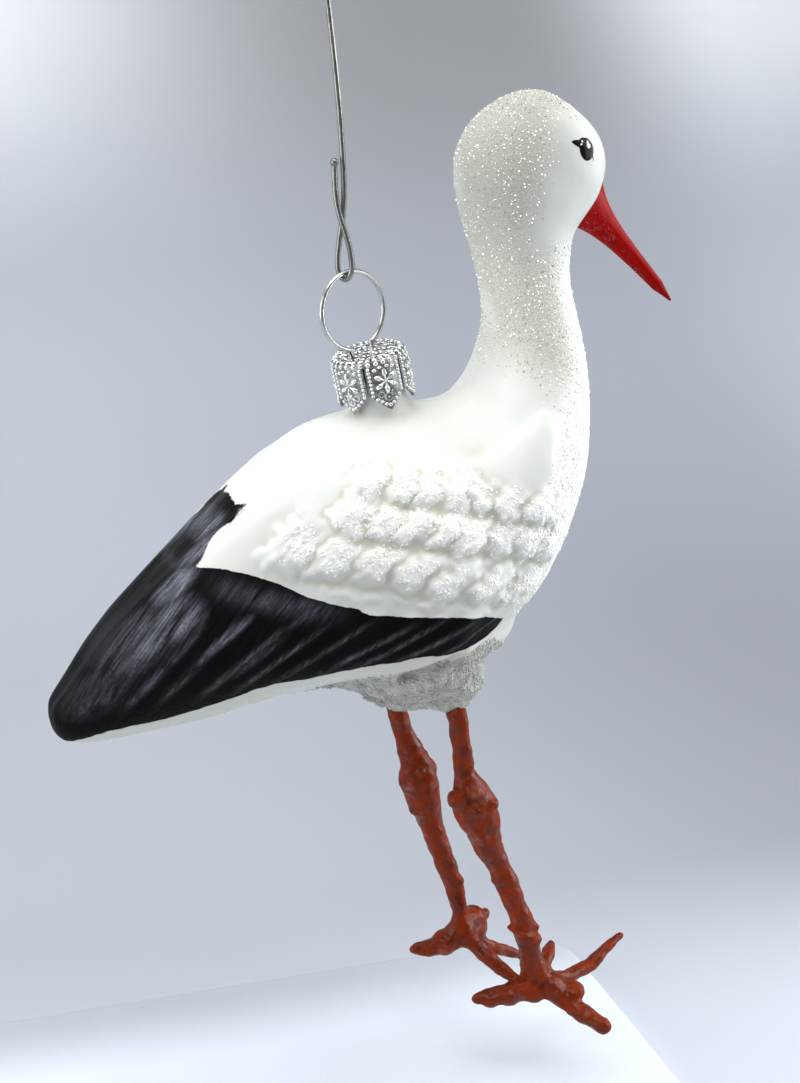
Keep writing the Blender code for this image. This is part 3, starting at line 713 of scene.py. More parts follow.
def glass_material(settings):
    """White lacquer, glitter coat, frost and black feather paint on one skin of glass."""
    material, tree, shader = new_material("painted_glass")
    glitter, frost = attribute_value(tree, "glitter"), attribute_value(tree, "frost")
    cloud = effect(tree, "Mottle", Size=9.0, Detail=2.0, Low=0.35, High=0.65)
    fine = effect(tree, "Mottle", Size=0.3, Detail=3.0, Low=0.35, High=0.65)
    crumb = effect(tree, "Mottle", Size=2.6, Detail=6.0, Low=0.3, High=0.68)
    strokes = effect(tree, "Strokes", Slope=BRUSH_SLOPE, Length=9.0, Width=0.55, Low=0.42, High=0.62)
    painted, black, grey = feather_paint(tree, settings, strokes)
    coats = glass_coats(tree, settings, cloud, fine, crumb)
    feed(shader, "Base Color", mix_colour(tree, painted, coats, black))

    gloss = mix_value(tree, glitter, ramp(tree, cloud, 0, 1, 0.24, 0.34), 0.62)
    gloss = mix_value(tree, frost, gloss, 0.85)
    satin = ramp(tree, plus(tree, strokes, grey), 0, 1.6, 0.40, 0.62)
    feed(shader, "Roughness", mix_value(tree, painted, gloss, satin))
    covered = maths(tree, "MAXIMUM", maths(tree, "MAXIMUM", glitter, frost), painted)
    feed(shader, "Coat Weight", mix_value(tree, painted, ramp(tree, covered, 0, 1, 0.22, 0.0), 0.02))
    shader.inputs["Coat Roughness"].default_value = 0.22
    shader.inputs["Specular IOR Level"].default_value = 0.05

    orange_peel = effect(tree, "Mottle", Size=2.4, Detail=1.0, Low=0.2, High=0.8)
    height = times(tree, fine, times(tree, glitter, 0.55))
    for layer in (times(tree, crumb, times(tree, frost, 2.4)), times(tree, painted, 0.45),
                  times(tree, painted, times(tree, strokes, 0.5)), times(tree, orange_peel, 0.35)):
        height = plus(tree, height, layer)
    add_bump(tree, shader, height, 0.12 * MM)
    return material


def flake_material(name, metallic):
    """Clear silvered glitter."""
    material, tree, shader = new_material(name)
    tone = effect(tree, "Mottle", Size=0.6, Detail=1.0, Low=0.3, High=0.7)
    feed(shader, "Base Color", mix_colour(tree, tone, (0.93, 0.93, 0.88), (0.80, 0.79, 0.70)))
    feed(shader, "Roughness", ramp(tree, tone, 0, 1, 0.12, 0.3))
    shader.inputs["Metallic"].default_value = metallic
    add_bump(tree, shader, tone, 0.02 * MM)
    return material


def crumb_material(name, bright, dark, patch):
    """Crumbs of frost, in patches of two tones."""
    material, tree, shader = new_material(name)
    tone = effect(tree, "Mottle", Size=patch, Detail=6.0, Low=0.32, High=0.66)
    feed(shader, "Base Color", mix_colour(tree, tone, bright, dark))
    feed(shader, "Roughness", ramp(tree, tone, 0, 1, 0.3, 0.6))
    add_bump(tree, shader, tone, 0.03 * MM)
    return material


def bill_material(settings):
    """Red lacquer, dusty along the lower jaw, a little darker towards the tip."""
    material, tree, shader = new_material("red_lacquer")
    axes = axes_of(tree)
    red = tuple(settings.bill)
    patches = effect(tree, "Mottle", Size=3.0, Detail=3.0)
    colour = mix_colour(tree, patches, red, toned(red, 0.82))
    colour = tint(tree, colour, ramp(tree, axes[0], 47.0, 60.0), 0.45, toned(red, 0.55))
    # The lower jaw lies below a line from the root to the tip.
    below = maths(tree, "SUBTRACT", times(tree, axes[0], -1.16), axes[2])
    below = ramp(tree, below, -199.8, -197.8)
    specks = effect(tree, "Specks", Spacing=0.32, Share=0.65, Dot=0.45)
    patchy = effect(tree, "Mottle", Size=1.5, Detail=3.0, Low=0.38, High=0.62)
    dusty = times(tree, times(tree, below, patchy), plus(tree, times(tree, specks, 0.7), 0.02))
    feed(shader, "Base Color", mix_colour(tree, dusty, colour, (0.62, 0.24, 0.22)))
    feed(shader, "Roughness", ramp(tree, dusty, 0, 0.5, 0.26, 0.55))
    shader.inputs["Specular IOR Level"].default_value = 0.02
    shader.inputs["Coat Weight"].default_value = 0.05
    shader.inputs["Coat Roughness"].default_value = 0.1
    streaks = effect(tree, "Strokes", Slope=math.radians(-50), Length=8.0, Width=0.7)
    add_bump(tree, shader, plus(tree, times(tree, streaks, 0.4), times(tree, dusty, 0.8)), 0.06 * MM)
    return material


def enamel_material(name, colour, roughness):
    material, tree, shader = new_material(name)
    tone = effect(tree, "Mottle", Size=0.5, Detail=3.0, Low=0.3, High=0.7)
    lifted = tuple(min(channel * 1.25 + 0.004, 1.0) for channel in colour)
    feed(shader, "Base Color", mix_colour(tree, tone, colour, lifted))
    feed(shader, "Roughness", ramp(tree, tone, 0, 1, roughness, roughness + 0.12))
    shader.inputs["Specular IOR Level"].default_value = 0.05
    shader.inputs["Coat Weight"].default_value = 0.04
    shader.inputs["Coat Roughness"].default_value = 0.05
    add_bump(tree, shader, tone, 0.02 * MM)
    return material


def stamped_material(settings):
    """Plated tin: bright on the stamped relief; between it, painted shade with patches of tarnish, and
    near-black painted shade on the top between its eyelets.
    """
    material, tree, shader = new_material("stamped_silver")
    raised = attribute_value(tree, "raised")
    tarnish = effect(tree, "Mottle", Size=0.8, Detail=4.0, Low=0.3, High=0.75)
    bright, dark = tuple(settings.cap), tuple(settings.cap_recess_shade)
    # Painted shade between the relief, in patches of tarnish.
    low = mix_colour(tree, tarnish, toned(dark, 0.35), toned(dark, 1.9))
    # Painted shade: the top of the cup goes near-black between its eyelets, as if pierced.
    low = tint(tree, low, attribute_value(tree, "pierced"), 0.9, (0.008, 0.008, 0.008))
    high = tint(tree, bright, tarnish, 0.3, toned(bright, 0.72))
    feed(shader, "Base Color", mix_colour(tree, raised, low, high))
    feed(shader, "Roughness", mix_value(tree, raised, 0.42, ramp(tree, tarnish, 0, 1, 0.16, 0.3)))
    shader.inputs["Metallic"].default_value = 1.0
    pits = effect(tree, "Specks", Spacing=0.55, Share=0.8, Dot=0.45)
    add_bump(tree, shader, plus(tree, times(tree, pits, -0.5), times(tree, tarnish, 0.35)), 0.06 * MM)
    return material


def metal_material(name, colour, roughness):
    """Drawn or brushed metal with fine upright lines and dull patches."""
    material, tree, shader = new_material(name)
    lines = effect(tree, "Strokes", Slope=math.radians(90), Length=12.0, Width=0.12, Low=0.35, High=0.65)
    patches = effect(tree, "Mottle", Size=2.5, Detail=4.0, Low=0.35, High=0.7)
    feed(shader, "Base Color", tint(tree, colour, patches, 0.25, toned(colour, 0.55)))
    shine = plus(tree, times(tree, lines, 0.4), times(tree, patches, 0.6))
    feed(shader, "Roughness", ramp(tree, shine, 0, 1, roughness, roughness + 0.16))
    shader.inputs["Metallic"].default_value = 1.0
    add_bump(tree, shader, lines, 0.01 * MM)
    return material


def clay_material(settings):
    """Hand-pressed clay, with painted shade in its folds and pale patches as painted highlights, and a
    varnish, thinly laid.
    """
    material, tree, shader = new_material("red_clay")
    clay = tuple(settings.clay)
    cloud = effect(tree, "Mottle", Size=2.2, Detail=4.0, Low=0.32, High=0.68)
    colour = mix_colour(tree, cloud, toned(clay, 0.5), toned(clay, 1.35))
    # Painted highlights: pale patches spread at random over the clay.
    painted_highlight_patches = effect(tree, "Mottle", Size=3.4, Detail=5.0, Low=0.56, High=0.72)
    colour = tint(tree, colour, painted_highlight_patches, 0.6, (0.33, 0.12, 0.085))
    # Painted shade: darker in the folds.
    colour = tint(tree, colour, attribute_value(tree, "fold"), 0.85, toned(clay, 0.25))
    chips = effect(tree, "Specks", Spacing=1.5, Share=0.10, Dot=0.22)
    colour = tint(tree, colour, chips, 0.8, (0.03, 0.012, 0.008))
    feed(shader, "Base Color", colour)
    feed(shader, "Roughness", ramp(tree, cloud, 0, 1, 0.34, 0.62))
    feed(shader, "Coat Weight", ramp(tree, cloud, 0.2, 0.9, 0.36, 0.06))
    shader.inputs["Specular IOR Level"].default_value = 0.04
    shader.inputs["Coat Roughness"].default_value = 0.09
    wrinkles = effect(tree, "Mottle", Size=0.7, Detail=6.0, Low=0.25, High=0.75)
    add_bump(tree, shader, plus(tree, times(tree, wrinkles, 0.9), times(tree, chips, -0.8)), 0.08 * MM)
    return material


def plate_material(settings):
    """Pale enamel, lighter along the middle as painted light, very slightly pebbled, with worn edges."""
    material, tree, shader = new_material("stand_enamel")
    axes = axes_of(tree)
    pale = tuple(settings.stand_paint)
    cloud = effect(tree, "Mottle", Size=14.0, Detail=3.0, Low=0.3, High=0.7)
    colour = mix_colour(tree, cloud, pale, toned(pale, 0.95))
    aside = maths(tree, "ABSOLUTE", axes[1])
    # Painted light: the enamel is lighter along the middle of the plate.
    colour = mix_colour(tree, ramp(tree, aside, 34.0, 12.0), colour, toned(pale, 1.65))
    long_edge = ramp(tree, maths(tree, "ABSOLUTE", axes[0]), 58.0, 58.9)
    short_edge = ramp(tree, aside, 35.0, 35.9)
    rim = times(tree, maths(tree, "MAXIMUM", long_edge, short_edge), ramp(tree, axes[2], 4.6, 5.6))
    worn = times(tree, rim, effect(tree, "Mottle", Size=1.6, Detail=4.0, Low=0.58, High=0.66))
    feed(shader, "Base Color", tint(tree, colour, worn, 0.5, (0.42, 0.42, 0.42)))
    feed(shader, "Roughness", ramp(tree, cloud, 0, 1, 0.42, 0.55))
    add_bump(tree, shader, effect(tree, "Mottle", Size=0.6, Detail=2.0, Low=0.3, High=0.7), 0.02 * MM)
    return material


def backdrop_material(settings):
    """Pale paper with painted light: lighter on the floor than behind it, and lighter again up the sweep and
    to the sides, with a painted glow high on the sides.
    """
    material, tree, shader = new_material("studio_paper")
    axes = axes_of(tree)
    floor, backdrop = tuple(settings.floor), tuple(settings.backdrop)
    # Painted light: these ramps make the paper lighter and darker by where it lies, standing in for how the
    # light falls.
    front = mix_colour(tree, ramp(tree, axes[1], -60.0, -200.0), floor, toned(floor, 0.66))
    colour = mix_colour(tree, ramp(tree, axes[1], -10.0, 75.0), front, backdrop)
    colour = mix_colour(tree, ramp(tree, axes[1], 110.0, 400.0), colour, toned(backdrop, 1.52))
    warmer = tuple(channel * factor for channel, factor in zip(backdrop, (1.28, 1.26, 1.15)))
    colour = mix_colour(tree, ramp(tree, axes[2], 30.0, 130.0), colour, warmer)
    offset = maths(tree, "SUBTRACT", axes[0], 208.0)
    side = maths(tree, "MAXIMUM", times(tree, offset, 1.75), times(tree, offset, -0.98))
    side = ramp(tree, side, 20.0, 210.0)
    # Painted light: a bright glow high on the sides of the sweep.
    painted_glow = times(tree, maths(tree, "POWER", side, 1.7), ramp(tree, axes[2], 55.0, 150.0))
    colour = tint(tree, colour, side, 0.46, (0.62, 0.65, 0.71))
    colour = mix_colour(tree, painted_glow, colour, (0.95, 0.97, 1.0))
    tooth = effect(tree, "Mottle", Size=60.0, Detail=2.0, Low=0.3, High=0.7)
    feed(shader, "Base Color", tint(tree, colour, tooth, 0.04, (0.3, 0.3, 0.32)))
    shader.inputs["Roughness"].default_value = 0.8
    return material


# ---------------------------------------------------------------------------------------------------------
# The glass figure


def feather_places():
    """Every moulded feather as x, z, length, width, height, slope and row, for one flank."""
    for row, (start, end, count, length, width, height, slope) in enumerate(FEATHER_ROWS):
        for k in range(count):
            share = k / (count - 1)
            sway = math.sin(2.4 * k + row) * 0.35
            x = start[0] + (end[0] - start[0]) * share + sway
            bow = ROW_BOW * share * (1 - share)
            z = start[1] + (end[1] - start[1]) * share + bow + math.cos(1.9 * k + row) * 0.3
            near_chest = (1 - 0.22 * share) * (1 + 0.09 * math.sin(2.7 * k + 2 * row))
            yield (x, z, length * near_chest, width * (1 - 0.12 * share), height,
                   math.radians(slope + 5 * math.sin(1.3 * k + row)), row)


def uneven(side_view):
    """The side view, shifted here and there so that no two feathers get the same outline."""
    x, z = side_view[:, 0], side_view[:, 1]
    shift_x = 0.5 * np.sin(1.3 * z + 0.5 * x) + 0.25 * np.sin(2.9 * z - 1.7 * x + 1)
    shift_z = 0.45 * np.sin(1.1 * x - 0.6 * z + 2) + 0.25 * np.sin(2.3 * x + 1.9 * z)
    return side_view + np.stack((shift_x, shift_z), axis=1)


def relief_height(side_view):
    """Height in millimetres of the moulded feathers and of the ridges under the black paint."""
    height = np.zeros(len(side_view))
    shifted = uneven(side_view)
    for x, z, length, width, rise, slope, row in feather_places():
        along, across = slope_axes(slope, back_down=True)
        gap = shifted - (x, z)
        u, v = (gap @ along) / (length / 2), np.abs(gap @ across) / (width / 2)
        tip = 1 - smoothstep(np.hypot(np.maximum(u - 0.15, 0) / 1.15, v / 1.6), 0.15, 1.0)
        # The first and the last row rise from the skin, the others from under the row above.
        start = 0.0 if row in (0, 3) else 0.4
        climb = start + (1 - start) * smoothstep(u, -1.2, 0.3)
        height = np.maximum(height, rise * tip * climb * smoothstep(u, -1.35, -0.9))
    # A crease under each row that carries frost.
    for start, end, _, length, _, rise, _ in (FEATHER_ROWS[row] for row in FROSTED_ROWS):
        drop = 0.36 * length
        lower, upper = (start[0] - 1.5, start[1] - drop), (end[0], end[1] - 0.8 * drop)
        across, share = ridge_axes(side_view, lower, upper)
        bow = ROW_BOW * share * (1 - share)
        height -= 0.32 * rise * window(share, -0.06, 0.1, 0.9, 1.02) * bell(across - bow, 0.8)
    for lower, upper, width, rise in FLIGHT_RIDGES:
        across, share = ridge_axes(side_view, lower, upper)
        tooth = np.where(across > 0, 1 - across / (2.2 * width), 1 + across / (0.55 * width))
        ends = window(share, -0.08, 0.25, 0.8, 1.08)
        height = np.maximum(height, rise * np.clip(tooth, 0, 1) * ends)
    for lower, upper, width, depth in BELLY_FOLDS:
        across, share = ridge_axes(side_view, lower, upper)
        height -= depth * window(share, -0.2, 0.2, 0.8, 1.2) * bell(across, width)
    return height


def slope_axes(slope, back_down=False):
    """Unit vectors (x, z) along a slope and across it."""
    along = np.array((math.cos(slope), math.sin(slope)))
    return (-along if back_down else along), np.array((-along[1], along[0]))


def ridge_axes(side_view, lower, upper):
    """Distance across a ridge, positive on its upper side, and the share of its length."""
    start, edge = np.array(lower), np.array(upper) - np.array(lower)
    size = np.linalg.norm(edge)
    gap = side_view - start
    along, across = gap @ edge / size, gap @ np.array((-edge[1], edge[0])) / size
    return across, along / size


def raise_relief(skin, amount):
    """Moves the flanks out by the relief, and the belly up, down round the legs and in at its front."""
    points, normals = points_of(skin), normals_of(skin)
    height = relief_height(points[:, (0, 2)]) * smoothstep(np.abs(normals[:, 1]), 0.25, 0.6) * amount
    x, y, z = points.T
    moved = points + normals * height[:, None]
    moved[:, 2] += smoothstep(TUCK_TOP - z, 0, 6) * window(x, -2, 8, 20, 25)
    down = smoothstep(-normals[:, 2], -0.1, 0.4)
    for root_x, root_y in LEG_ROOTS:
        gap = np.hypot(x - root_x, y - root_y)
        moved[:, 2] -= LEG_ROOT_DROP * down * (1 - smoothstep(gap, 1.6, 4.2))
    for level, reach, shift in BELLY_WAIST:
        moved[:, 0] += shift * smoothstep(x, 17, 27) * bell(z - level, reach)
    moved *= MM
    skin.data.vertices.foreach_set("co", moved.ravel())
    skin.data.update()


def make_glass_body():
    """One closed skin over the trunk, neck, head, tail and wings, smooth under its relief."""
    body = join_pieces([copy_of_node(node, node + "_copy") for node in FLESH_NODES], "glass_figure")
    # The skin is swollen to close the cuts between the nodes, and drawn back once they are closed.
    bridge = 0.3 * MM
    apply_modifier(body, "DISPLACE", strength=bridge, mid_level=0.0)
    apply_modifier(body, "REMESH", mode="VOXEL", voxel_size=0.6 * MM)
    body = keep_largest(body)
    apply_modifier(body, "SMOOTH", factor=0.5, iterations=24)
    lost_in_smoothing = 0.06 * MM
    apply_modifier(body, "DISPLACE", strength=lost_in_smoothing - bridge, mid_level=0.0)
    return body


def frost_mask(points):
    """1 where the belly carries crumbly frost, fading out at its upper edge."""
    limit = np.interp(points[:, 0], *np.array(FROST_LINE).T)
    return smoothstep(limit - points[:, 2], -0.6, 1.4) * smoothstep(points[:, 0], -2.0, 3.0)


def chest_mask(points, normals):
    """Fine frost down the front of the neck and breast."""
    facing = smoothstep(normals[:, 0], 0.2, 0.9) * smoothstep(points[:, 0], 25, 33)
    return facing * window(points[:, 2], 85, 94, 137, 143)


def head_mask(points, normals):
    """Fine glitter from behind the face down to the root of the neck."""
    x, z = points[:, 0], points[:, 2]
    behind_face = 1 - smoothstep(x - 0.25 * (z - 152), 32.0, 38.4)
    crown = smoothstep(normals[:, 2], 0.5, 0.9) * (1 - smoothstep(x, 38.5, 43.0))
    coated = 1 - smoothstep(z, 138, 144) * (1 - np.maximum(behind_face, crown))
    root = smoothstep(z + 0.55 * (x - 34), 118.5, 129)
    # Painted reflection: along the back edge of the neck the glitter is left off, so that the white lacquer
    # shows there as a bright strip.
    nape = smoothstep(-normals[:, 0], 0.95, 1.0) * smoothstep(z, 124, 134)
    return coated * root * (1 - 0.85 * nape * (1 - smoothstep(z, 148, 158)))


def bump_mask(points):
    """Frost and glitter clinging to the tops of the moulded feathers."""
    mask = np.zeros(len(points))
    shifted = uneven(points[:, (0, 2)])
    for x, z, length, width, _, slope, row in feather_places():
        if row not in FROSTED_ROWS:
            continue
        # The lowest of them is frosted less far out from the middle of each feather.
        reach_along, reach_across = (0.34, 0.34) if row == max(FROSTED_ROWS) else (0.42, 0.46)
        along, across = slope_axes(slope, back_down=True)
        gap = shifted - (x, z)
        reach = np.hypot((gap @ along + 0.2) / (length * reach_along),
                         (gap @ across - 0.3) / (width * reach_across))
        mask = np.maximum(mask, 1 - smoothstep(reach, 0.6, 1.25))
    x, z = points[:, 0], points[:, 2]
    ragged = np.sin(2.3 * x + 1.4 * z) * np.sin(1.9 * z - 1.1 * x + 2) + 0.6 * np.sin(4.7 * x - 3.3 * z)
    return np.clip(mask - 0.75 * np.maximum(ragged, 0), 0, 1)


def brush_end_mask(side_view):
    """1 along the ragged end of the black paint."""
    start, end = np.array(BRUSH_END)
    edge = end - start
    share = np.clip(((side_view - start) @ edge) / (edge @ edge), 0, 1)
    gap = np.linalg.norm(side_view - start - share[:, None] * edge, axis=1)
    return 1 - smoothstep(gap, 0.4, 2.4)


def dry_and_sheen_mask(side_view):
    """The grey over the black: in strokes, partly brushed paint and partly painted sheen, in a band of
    painted sheen, and as painted highlights along the ridges.
    """
    dry_and_sheen = np.zeros(len(side_view))
    along, across = slope_axes(DRY_SLOPE)
    for x, z, length, width, strength in DRY_AND_SHEEN_STROKES:
        gap = side_view - (x, z)
        reach = np.hypot((gap @ along) / length, (gap @ across) / width)
        dry_and_sheen = np.maximum(dry_and_sheen, strength * (1 - smoothstep(reach, 0.3, 1.25)))
    band_start, band_end, width, strength = PAINTED_SHEEN_BAND
    across, share = ridge_axes(side_view, band_start, band_end)
    dry_and_sheen = np.maximum(dry_and_sheen, strength * window(share, -0.05, 0.15, 0.6, 1.0) * bell(across, width))
    # Painted highlights: a thin line of grey along the upper side of each ridge.
    for lower, upper, width, _ in FLIGHT_RIDGES:
        across, share = ridge_axes(side_view, lower, upper)
        line = bell(across - 0.15 * width, 0.32 * width)
        dry_and_sheen = np.maximum(dry_and_sheen, 0.42 * line * window(share, 0.0, 0.3, 0.7, 1.0))
    return dry_and_sheen


def paint_masks(skin):
    """Stores where each coat lies, point by point."""
    points, normals = points_of(skin), normals_of(skin)
    side_view = points[:, (0, 2)].copy()
    # Across the back the coat runs from one flank to the other.
    over = (1 - smoothstep(np.abs(points[:, 1]), 2.5, 6.0)) * smoothstep(normals[:, 2], 0.3, 0.6)
    side_view[:, 1] += 1.6 * over
    outline = np.concatenate([PAINT_BACK[:-1], smooth_line(PAINT_INNER)[:-1], smooth_line(PAINT_UPPER),
                              smooth_line(PAINT_FRONT)[:-1], smooth_line(PAINT_LOWER)])
    paint = signed_distance(side_view, outline)
    unpainted = 1 - smoothstep(paint, -0.6, 0.0)
    frost, chest, head = frost_mask(points), chest_mask(points, normals), head_mask(points, normals)
    glitter = np.maximum(head, chest * 0.15)
    # Painted shade: a darker white on the face, under the flanks and on the hind part of the wings.
    face = smoothstep(points[:, 2], 134, 142)
    flank = np.abs(normals[:, 1])
    low = smoothstep(-normals[:, 2], -0.25, 0.35) * smoothstep(flank, 0.3, 0.7)
    hind = (1 - smoothstep(points[:, 0], -8, 4)) * smoothstep(flank, 0.3, 0.8)
    masks = {
        "paint": paint,
        "brush_end": brush_end_mask(side_view),
        "dry_brush": dry_and_sheen_mask(side_view),
        "glitter": np.clip(glitter * unpainted * (1 - frost), 0, 1),
        "frost": frost * unpainted,
        "chest": chest * unpainted * (1 - frost),
        "head": head * (1 - chest) * unpainted,
        "bumps": bump_mask(points) * unpainted,
        "thin": np.maximum(face, np.maximum(0.95 * low, 0.9 * hind) * (1 - chest)),
    }
    for name, values in masks.items():
        set_attribute(skin, name, values)


def crumble(skin):
    """Raises the frost into lumps."""
    frost, chest, bumps = (attribute_of(skin, name) for name in ("frost", "chest", "bumps"))
    group = skin.vertex_groups.new(name="frost")
    for index, weight in enumerate(np.maximum(frost, np.maximum(chest * 0.2, bumps * 0.55))):
        if weight > 0.01:
            group.add([index], float(weight), "REPLACE")
    for name, size, strength in (("frost_lumps", 3.0, 1.7), ("frost_grit", 0.9, 0.7)):
        clouds = bpy.data.textures.new(name, "CLOUDS")
        clouds.noise_scale = size * MM
        clouds.noise_depth = 3
        apply_modifier(skin, "DISPLACE", strength=strength * MM, mid_level=0.62, texture=clouds,
                       vertex_group="frost", texture_coords="LOCAL")
    skin.vertex_groups.clear()


class STORK_OT_glass(bpy.types.Operator):
    """Builds the glass figure: one skin with its moulded feathers, its paint and its frost"""
    bl_idname = "stork.glass"
    bl_label = "Glass figure"

    def execute(self, context):
        settings = context.scene.stork.glass
        skin = make_glass_body()
        apply_modifier(skin, "REMESH", mode="VOXEL", voxel_size=settings.fine_voxel)
        apply_modifier(skin, "SMOOTH", factor=0.5, iterations=4)
        raise_relief(skin, settings.feather_relief)
        apply_modifier(skin, "SMOOTH", factor=0.5, iterations=1)
        points, normals = points_of(skin), normals_of(skin)
        # Painted shade goes in the creases of the relief and on the underside of the flanks.
        under = smoothstep(-normals[:, 2], -0.1, 0.5) * smoothstep(np.abs(normals[:, 1]), 0.3, 0.6)
        under *= 1 - smoothstep(points[:, 2], 96, 104)
        set_attribute(skin, "crease", np.maximum(fold_depth(skin), 0.55 * under))
        paint_masks(skin)
        crumble(skin)
        smooth_faces(skin)
        skin.name = "glass_skin"
        skin.data.name = "glass_skin"
        finish_piece(skin, glass_material(settings), "white_glass", *FLESH_NODES)
        return {"FINISHED"}


# ---------------------------------------------------------------------------------------------------------
# Glitter and frost


def make_unwrap(skin):
    """A light copy of the skin with its own unwrap, which tells each grain where its root lies."""
    light = mesh_copy(skin, "skin_unwrap")
    apply_modifier(light, "REMESH", mode="VOXEL", voxel_size=1.8 * MM)
    select_only(light)
    bpy.ops.object.mode_set(mode="EDIT")
    bpy.ops.mesh.select_all(action="SELECT")
    bpy.ops.uv.smart_project(angle_limit=math.radians(66), island_margin=0.01)
    bpy.ops.object.mode_set(mode="OBJECT")
    light.data.uv_layers[0].name = "skin_uv"
    return light


def geometry_node(tree, kind, values=None, **settings):
    return add_node(tree, "GeometryNode" + kind, values, **settings)


def named_values(tree, name, kind):
    """The values of a named attribute."""
    return geometry_node(tree, "InputNamedAttribute", {"Name": name}, data_type=kind).outputs["Attribute"]


def stored(tree, geometry, name, value, kind, domain):
    """The geometry with a value stored on it as a named attribute."""
    return geometry_node(tree, "StoreNamedAttribute", {"Geometry": geometry, "Name": name, "Value": value},
                         data_type=kind, domain=domain).outputs[0]


def scaled(tree, vector, factor):
    return shader_node(tree, "VectorMath", {0: vector, "Scale": factor}, operation="SCALE").outputs[0]


def scatter_group():
    """Grains spread over a surface by a mask, made real, each with a patch of the surface's unwrap."""
    found = bpy.data.node_groups.get("Scatter grains")
    if found:
        return found
    tree = bpy.data.node_groups.new("Scatter grains", "GeometryNodeTree")
    kinds = {"Geometry": "Geometry", "Grain": "Object", "Unwrap": "Object", "Mask": "String",
             "Spacing": "Float", "Density": "Float", "Smallest": "Float", "Largest": "Float",
             "Tilt": "Float", "Lift": "Float", "Seed": "Int"}
    for name, kind in kinds.items():
        tree.interface.new_socket(name=name, in_out="INPUT", socket_type="NodeSocket" + kind)
    tree.interface.new_socket(name="Geometry", in_out="OUTPUT", socket_type="NodeSocketGeometry")
    given = tree.nodes.new("NodeGroupInput").outputs
    result = tree.nodes.new("NodeGroupOutput").inputs
    spread = geometry_node(
        tree, "DistributePointsOnFaces",
        {"Mesh": given["Geometry"], "Distance Min": given["Spacing"], "Density Max": given["Density"],
         "Density Factor": named_values(tree, given["Mask"], "FLOAT"), "Seed": given["Seed"]},
        distribute_method="POISSON").outputs
    moved = geometry_node(tree, "SetPosition", {"Geometry": spread["Points"],
                                                "Offset": scaled(tree, spread["Normal"], given["Lift"])})
    # Each grain notes where on the unwrap its root lies.
    unwrap = geometry_node(tree, "ObjectInfo", {"Object": given["Unwrap"]}).outputs["Geometry"]
    root = geometry_node(tree, "SampleNearestSurface",
                         {"Mesh": unwrap, "Value": named_values(tree, "skin_uv", "FLOAT_VECTOR")},
                         data_type="FLOAT_VECTOR").outputs["Value"]
    rooted = stored(tree, moved.outputs[0], "root_uv", root, "FLOAT_VECTOR", "POINT")
    # It lies tilted and turned at random, in its own size.
    negative = times(tree, given["Tilt"], -1.0)
    low = shader_node(tree, "CombineXYZ", {0: negative, 1: negative, 2: -math.pi}).outputs[0]
    high = shader_node(tree, "CombineXYZ", {0: given["Tilt"], 1: given["Tilt"], 2: math.pi}).outputs[0]
    turn = add_node(tree, "FunctionNodeRandomValue", {0: low, 1: high, "Seed": given["Seed"]},
                    data_type="FLOAT_VECTOR")
    tilt = add_node(tree, "FunctionNodeEulerToRotation", {0: turn.outputs[0]})
    facing = add_node(tree, "FunctionNodeRotateRotation", {0: spread["Rotation"], 1: tilt.outputs[0]},
                      rotation_space="LOCAL")
    size = add_node(tree, "FunctionNodeRandomValue",
                    {2: given["Smallest"], 3: given["Largest"], "Seed": given["Seed"]}, data_type="FLOAT")
    grain = geometry_node(tree, "ObjectInfo", {"Object": given["Grain"]}).outputs["Geometry"]
    placed = geometry_node(tree, "InstanceOnPoints", {"Points": rooted, "Instance": grain,
                                                      "Rotation": facing.outputs[0],
                                                      "Scale": size.outputs[1]})
    real = geometry_node(tree, "RealizeInstances", {0: placed.outputs[0]}).outputs[0]
    patch = scaled(tree, named_values(tree, "grain_uv", "FLOAT_VECTOR"), GRAIN_PATCH)
    total = shader_node(tree, "VectorMath", {0: named_values(tree, "root_uv", "FLOAT_VECTOR"), 1: patch},
                        operation="ADD").outputs[0]
    tree.links.new(stored(tree, real, "OFBake", total, "FLOAT2", "CORNER"), result[0])
    return tree


def scatter(name, skin, unwrap, grain, mask, spacing, density, sizes, tilt, lift, seed):
    """One joined mesh of grains; spacing and lift in metres, density per square metre."""
    piece = mesh_copy(skin, name)
    tree = scatter_group()
    modifier = piece.modifiers.new("grains", "NODES")
    modifier.node_group = tree
    values = {"Grain": grain, "Unwrap": unwrap, "Mask": mask, "Spacing": spacing, "Density": density,
              "Smallest": sizes[0], "Largest": sizes[1], "Tilt": tilt, "Lift": lift, "Seed": seed}
    for item in tree.interface.items_tree:
        if item.in_out == "INPUT" and item.name in values:
            modifier[item.identifier] = values[item.name]
    select_only(piece)
    bpy.ops.object.modifier_apply(modifier=modifier.name)
    for attribute in ("root_uv", "grain_uv"):
        piece.data.attributes.remove(piece.data.attributes[attribute])
    piece.data.name = name
    return piece


def own_patch(grain):
    """Gives a grain's points their place in its patch of the unwrap, from -1 to 1."""
    points = points_of(grain)
    values = grain.data.attributes.new("grain_uv", "FLOAT_VECTOR", "POINT")
    flat = np.clip(points / np.abs(points).max(), -1, 1)
    flat[:, 2] = 0
    values.data.foreach_set("vector", flat.astype(np.float32).ravel())


def make_flake(radius):
    bpy.ops.mesh.primitive_cylinder_add(vertices=5, radius=radius, depth=radius * 0.45)
    flake = bpy.context.object
    resize_where(flake, lambda co: co.z > 0, (0.82, 0.82, 1.0))
    own_patch(flake)
    return flake


def make_crumb(radius):
    bpy.ops.mesh.primitive_uv_sphere_add(segments=4, ring_count=2, radius=radius)
    crumb = bpy.context.object
    smooth_faces(crumb)
    resize_where(crumb, lambda co: co.x > radius * 0.3, (1.35, 0.9, 0.8))
    resize_where(crumb, lambda co: co.z > radius * 0.3, (1.0, 1.0, 0.8))
    own_patch(crumb)
    return crumb


